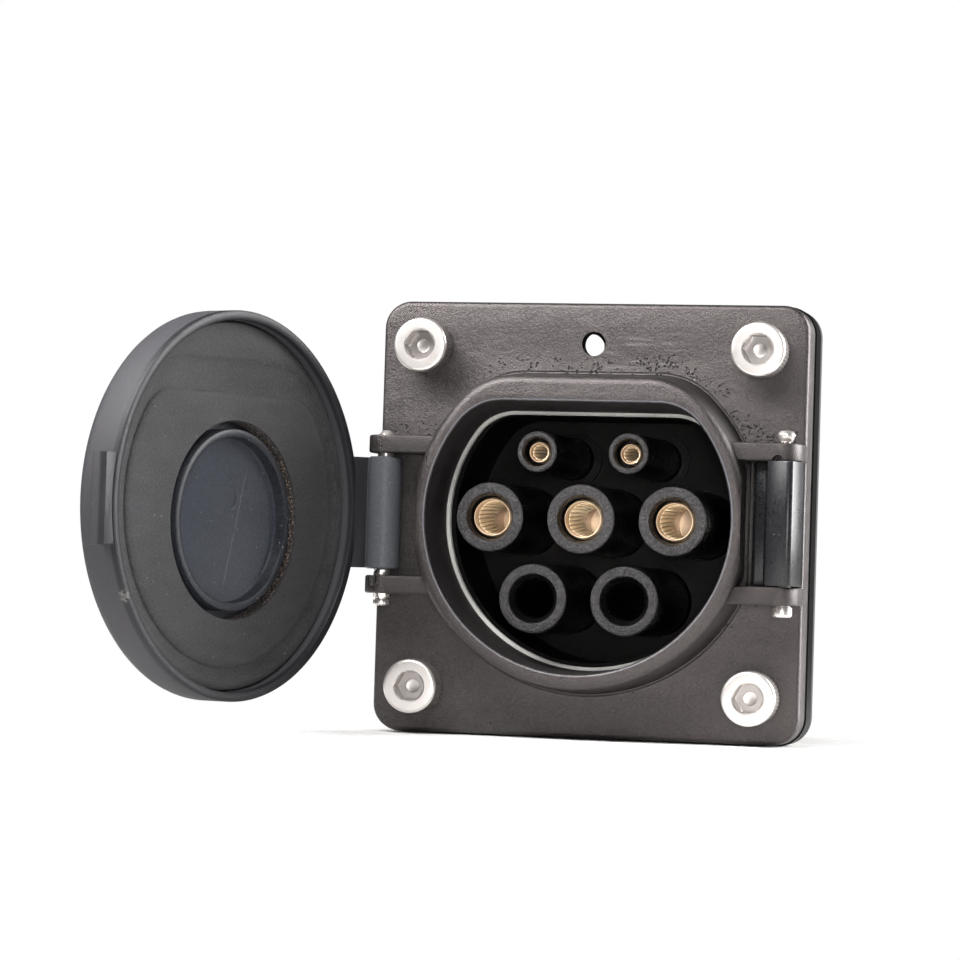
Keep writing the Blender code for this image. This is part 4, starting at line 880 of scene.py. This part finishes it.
def makeFlangeScrew(label, values, x, height):
    top, seat, tip = values["top"], values["seat"], values["tip"]
    head, shank = values["head"], values["shank"]
    profile = [(0.0, top)]
    profile += [(head - inset, top - values["round"] + rise) for inset, rise in reversed(rounding(values["round"], 5))]
    profile += [(head, top - values["round"] - 0.2), (head, seat + 0.5), (head - 0.25, seat), (shank, seat),
                (shank, tip + 0.6), (shank - 0.6, tip), (0.0, tip)]
    bm = turned(profile, values["ridges"] * 4, x, height)
    for vert in bm.verts:
        out = Vector((vert.co.x - x, vert.co.z - height))
        depth = -vert.co.y
        if out.length > head - 0.01 and seat + 0.3 < depth < top - values["round"] - 0.1:
            turn = math.atan2(out.y, out.x) / fullTurn * values["ridges"]
            push = 1 - values["knurl"] * (0.5 + 0.5 * math.cos(fullTurn * turn)) / head
            vert.co.x, vert.co.z = x + out.x * push, height + out.y * push
    corner = values["hex"]
    floor = top - values["socket"]
    socket = turned([(0.0, top + 2), (corner, top + 2), (corner, floor), (0.0, floor)], 6, x, height)
    drill = turned([(0.0, floor + 1), (values["drill"], floor + 1), (values["drill"], floor - 0.3),
                    (0.0, floor - 0.3 - values["drill"] * 0.2)], 32, x, height)
    mouth = turned([(0.0, top + 1), (corner + 1.1, top + 1), (corner - 0.25, top - 0.35), (0.0, top - 0.35)],
                   48, x, height)
    bm = combine(bm, ("DIFFERENCE", socket, drill, mouth))
    place("capScrew_" + label, bm, screwMetal, "root", ["flange_screw_" + label], 30.0)


for label, (x, height) in screwSpots.items():
    makeFlangeScrew(label, screwSizes, x, height)

pinProfiles = {
    "hinge_pin": [(0.0, 15.5), (0.675, 15.5), (1.05, 15.1), (1.5, 14.6), (1.5, -15.35), (1.125, -15.35),
                  (1.125, -15.8), (1.5, -15.8), (1.5, -16.55), (1.2, -16.85), (0.0, -16.85)],
    "latch_pin": [(0.0, 16.25), (0.75, 16.25), (0.75, 14.6), (1.5, 14.6), (1.5, -14.9), (1.845, -14.9),
                  (1.845, -16.4), (1.57, -16.7), (0.0, -16.7)],
    "latch_pin_cap": [(0.0, 17.0), (1.12, 16.85), (1.605, 16.25), (1.605, 15.95), (1.2, 14.9), (1.05, 14.9),
                      (1.05, 16.55), (0.0, 16.55)],
}
for node, profile in pinProfiles.items():
    bm = turned(profile, 40, hingeX if node == "hinge_pin" else latchX, upright=True)
    softEdges(bm, 0.08, 2, 25.0)
    place("steel_" + node, bm, stainless, "root", [node], 30.0)
print("screws and pins made")


# lid

lidSizes = {"radius": 34.6, "wall": 1.7, "edge": 3.0, "boss": 16.15, "bossWall": 1.5, "bossDrop": -2.5,
            "bossEnd": 24.7, "cupDepth": 2.5, "barrel": 3.1, "barrelLow": -10.1, "barrelHigh": 10.6,
            "armLow": -9.95, "armHigh": 10.45, "armTop": 9.0, "lug": 2.5, "lugHalf": 7.9, "lugThick": 2.9}


def makeLid(values):
    radius, inner = values["radius"], values["radius"] - values["wall"]
    edgeBase = stack["lidTop"] - values["edge"]
    rim = stack["rim"]
    profile = [(0.0, stack["lidTop"])]
    profile += [(radius - inset, edgeBase + rise) for inset, rise in reversed(rounding(values["edge"], 8))]
    profile += [(radius, rim + 0.4), (radius - 0.12, rim + 0.12), (radius - 0.4, rim), (inner + 0.4, rim),
                (inner + 0.12, rim + 0.12), (inner, rim + 0.4), (inner, stack["lidInside"]), (0.0, stack["lidInside"])]
    shell = turned(profile, 168)
    end, outer = values["bossEnd"], values["boss"]
    hollow, floor = outer - values["bossWall"], values["bossEnd"] + values["cupDepth"]
    boss = [(0.0, 30.5), (outer, 30.5), (outer, end + 0.45), (outer - 0.13, end + 0.13), (outer - 0.45, end),
            (hollow + 0.35, end), (hollow + 0.1, end + 0.1), (hollow, end + 0.35), (hollow, floor - 0.5),
            (hollow - 0.15, floor - 0.15), (hollow - 0.5, floor), (0.0, floor)]
    boss = turned(boss, 120, 0.0, values["bossDrop"])
    barrel = turned([(0.0, values["barrelHigh"]), (values["barrel"] - 0.25, values["barrelHigh"]),
                     (values["barrel"], values["barrelHigh"] - 0.25), (values["barrel"], values["barrelLow"] + 0.25),
                     (values["barrel"] - 0.25, values["barrelLow"]), (0.0, values["barrelLow"])], 56, hingeX, upright=True)
    pin, size = stack["pin"], values["barrel"]
    wall = -radius + values["wall"] * 0.85
    arm = extruded([(hingeX + size * 0.5, pin + size * 0.75), (wall, rim + 0.17), (wall, pin + values["armTop"]),
                    (hingeX + size, pin + values["armTop"]), (hingeX - size * 0.1, pin + size * 2.1),
                    (hingeX - size * 0.7, pin + size * 1.2), (hingeX - size * 0.8, pin), (hingeX, pin)],
                   values["armLow"], values["armHigh"], 0.3, 3)
    tip, ledge, base = radius + values["lug"], rim + values["lugThick"], rim + 0.255
    ramp = values["lug"] * 0.3
    lug = extruded([(radius - 1.0, base), (tip - ramp, base), (tip, base + ramp * 1.4), (tip, ledge - ramp / 3),
                    (tip - ramp / 3, ledge), (radius - 1.0, ledge)], -values["lugHalf"], values["lugHalf"], 0.25, 2)
    bore = uprightPlug(hingeX, 1.8, -20.0, 20.0)
    pocket = uprightPlug(hingeX, 2.6, -20.0, -5.6)
    nick = softEdges(block((33.5, 22.0, -11.4), (37.0, 26.4, -8.5)), 0.2, 2)
    chip = bmesh.new()
    bmesh.ops.create_icosphere(chip, subdivisions=2, radius=0.75)
    bmesh.ops.translate(chip, vec=(30.7, -22.9, -16.7), verts=chip.verts)
    bm = combine(shell, ("UNION", boss, barrel, arm, lug), ("DIFFERENCE", bore, pocket, nick, chip))
    return place("lidMoulding", bm, lidPlastic, "lid", ["lid_shell"], 28.0, opened=True)


imprintSize = {"radius": 28.8, "flat": 20.0, "corner": 8.5}  # what the shroud's mouth leaves standing in the foam


def makeFoam():
    face, back = stack["foamFace"], stack["foamBack"]
    edge, radius = foamSizes["radius"], foamSizes["hole"]
    outer = turned([(0.0, back), (edge, back), (edge, face + 0.5), (edge - 0.15, face + 0.15), (edge - 0.5, face),
                    (0.0, face)], 144)
    hole = turned([(0.0, back + 3.6), (radius, back + 3.6), (radius, face + 0.3), (radius + 0.15, face + 0.05),
                   (radius + 0.3, face - 1.0), (0.0, face - 1.0)], 120, *foamSizes["holeSpot"])
    groove = dSolid(collarSize, [(0.5, 20.0), (0.5, face), (0.1, face + 0.1), (-0.5, face + 0.35), (-0.9, face + 0.5)])
    island = dSolid(imprintSize, [(-1.9, 10.0), (-1.9, face), (-1.1, face + 0.04), (-0.5, face + 0.14),
                                  (-0.15, face + 0.3), (0.0, face + 0.5), (0.0, 40.0)])
    bm = combine(outer, ("DIFFERENCE", hole, combine(groove, ("DIFFERENCE", island))))
    return place("foamDisc", bm, foam, "lid", ["lid_gasket"], 30.0, opened=True)


makeLid(lidSizes)
makeFoam()
print("lid made")


# latch lever

latchSizes = {"half": 11.1, "barrel": 3.5, "foot": 2.0, "footX": 31.4, "webIn": 37.49, "web": 2.6, "hook": 1.8,
              "hookTip": 34.99, "ledge": 26.4, "thumb": 4.0, "thumbLow": 3.4, "thumbHigh": 5.3}


def makeLatch(values):
    pin, radius, foot, hook = stack["pin"], values["barrel"], values["foot"], values["hook"]
    footTop, footLow = pin + foot / 2, pin - foot / 2
    webIn, webOut, tip, ledge = values["webIn"], values["webIn"] + values["web"], values["hookTip"], values["ledge"]
    start = 180.0 - math.degrees(math.asin((footTop - pin) / radius))
    stop = math.degrees(math.acos((webIn - latchX) / radius))
    startSpot = (latchX + radius * math.cos(math.radians(start)), pin + radius * math.sin(math.radians(start)))
    ridge = hook * 0.6
    lean = math.radians(110)
    ridgeStart = (webOut - ridge + ridge * math.cos(lean), ledge + hook + ridge * math.sin(lean))
    thumbX = latchX + values["thumb"]
    backStart = (latchX + radius * math.cos(math.radians(10)), pin + radius * math.sin(math.radians(10)))
    backTurn = -190.0 + math.degrees(math.asin(foot / 2 / radius))
    spots = [(values["footX"], footLow), (values["footX"], footTop - foot * 0.3), (values["footX"] + foot * 0.3, footTop),
             startSpot, (latchX, pin, -(stop - start), 14), (webIn, ledge), (tip, ledge), (tip, ledge + hook * 0.35),
             (tip + hook * 0.5, ledge + hook * 0.8), ridgeStart, (webOut - ridge, ledge + hook, 90.0, 8),
             (thumbX, pin + values["thumbHigh"]), (thumbX, pin + values["thumbLow"]), backStart,
             (latchX, pin, -backTurn, 26)]
    lever = extruded(spots, -values["half"], values["half"], 0.22, 2)
    bore = uprightPlug(latchX, 1.8, -20.0, 20.0)
    window = uprightPlug(latchX, 2.6, -5.0, 5.0)
    rear = block((latchX - 2.6, stack["face"], -5.0), (latchX + 4.2, pin, 5.0))
    bm = combine(lever, ("DIFFERENCE", bore, window, rear))
    return place("latchLever", bm, latchPlastic, "latch", ["latch_lever"], 30.0)


makeLatch(latchSizes)
print("latch made")


# finishes of the frame's own nodes

finishes = {"contact_retainer": cupPlastic, "retainer_screw_1": stainless,
            "retainer_screw_2": stainless, "retainer_screw_3": stainless, "lid_spring": springSteel,
            "latch_spring": springSteel}
for node, material in finishes.items():
    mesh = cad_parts[node].data
    mesh.materials.clear()
    mesh.materials.append(material)
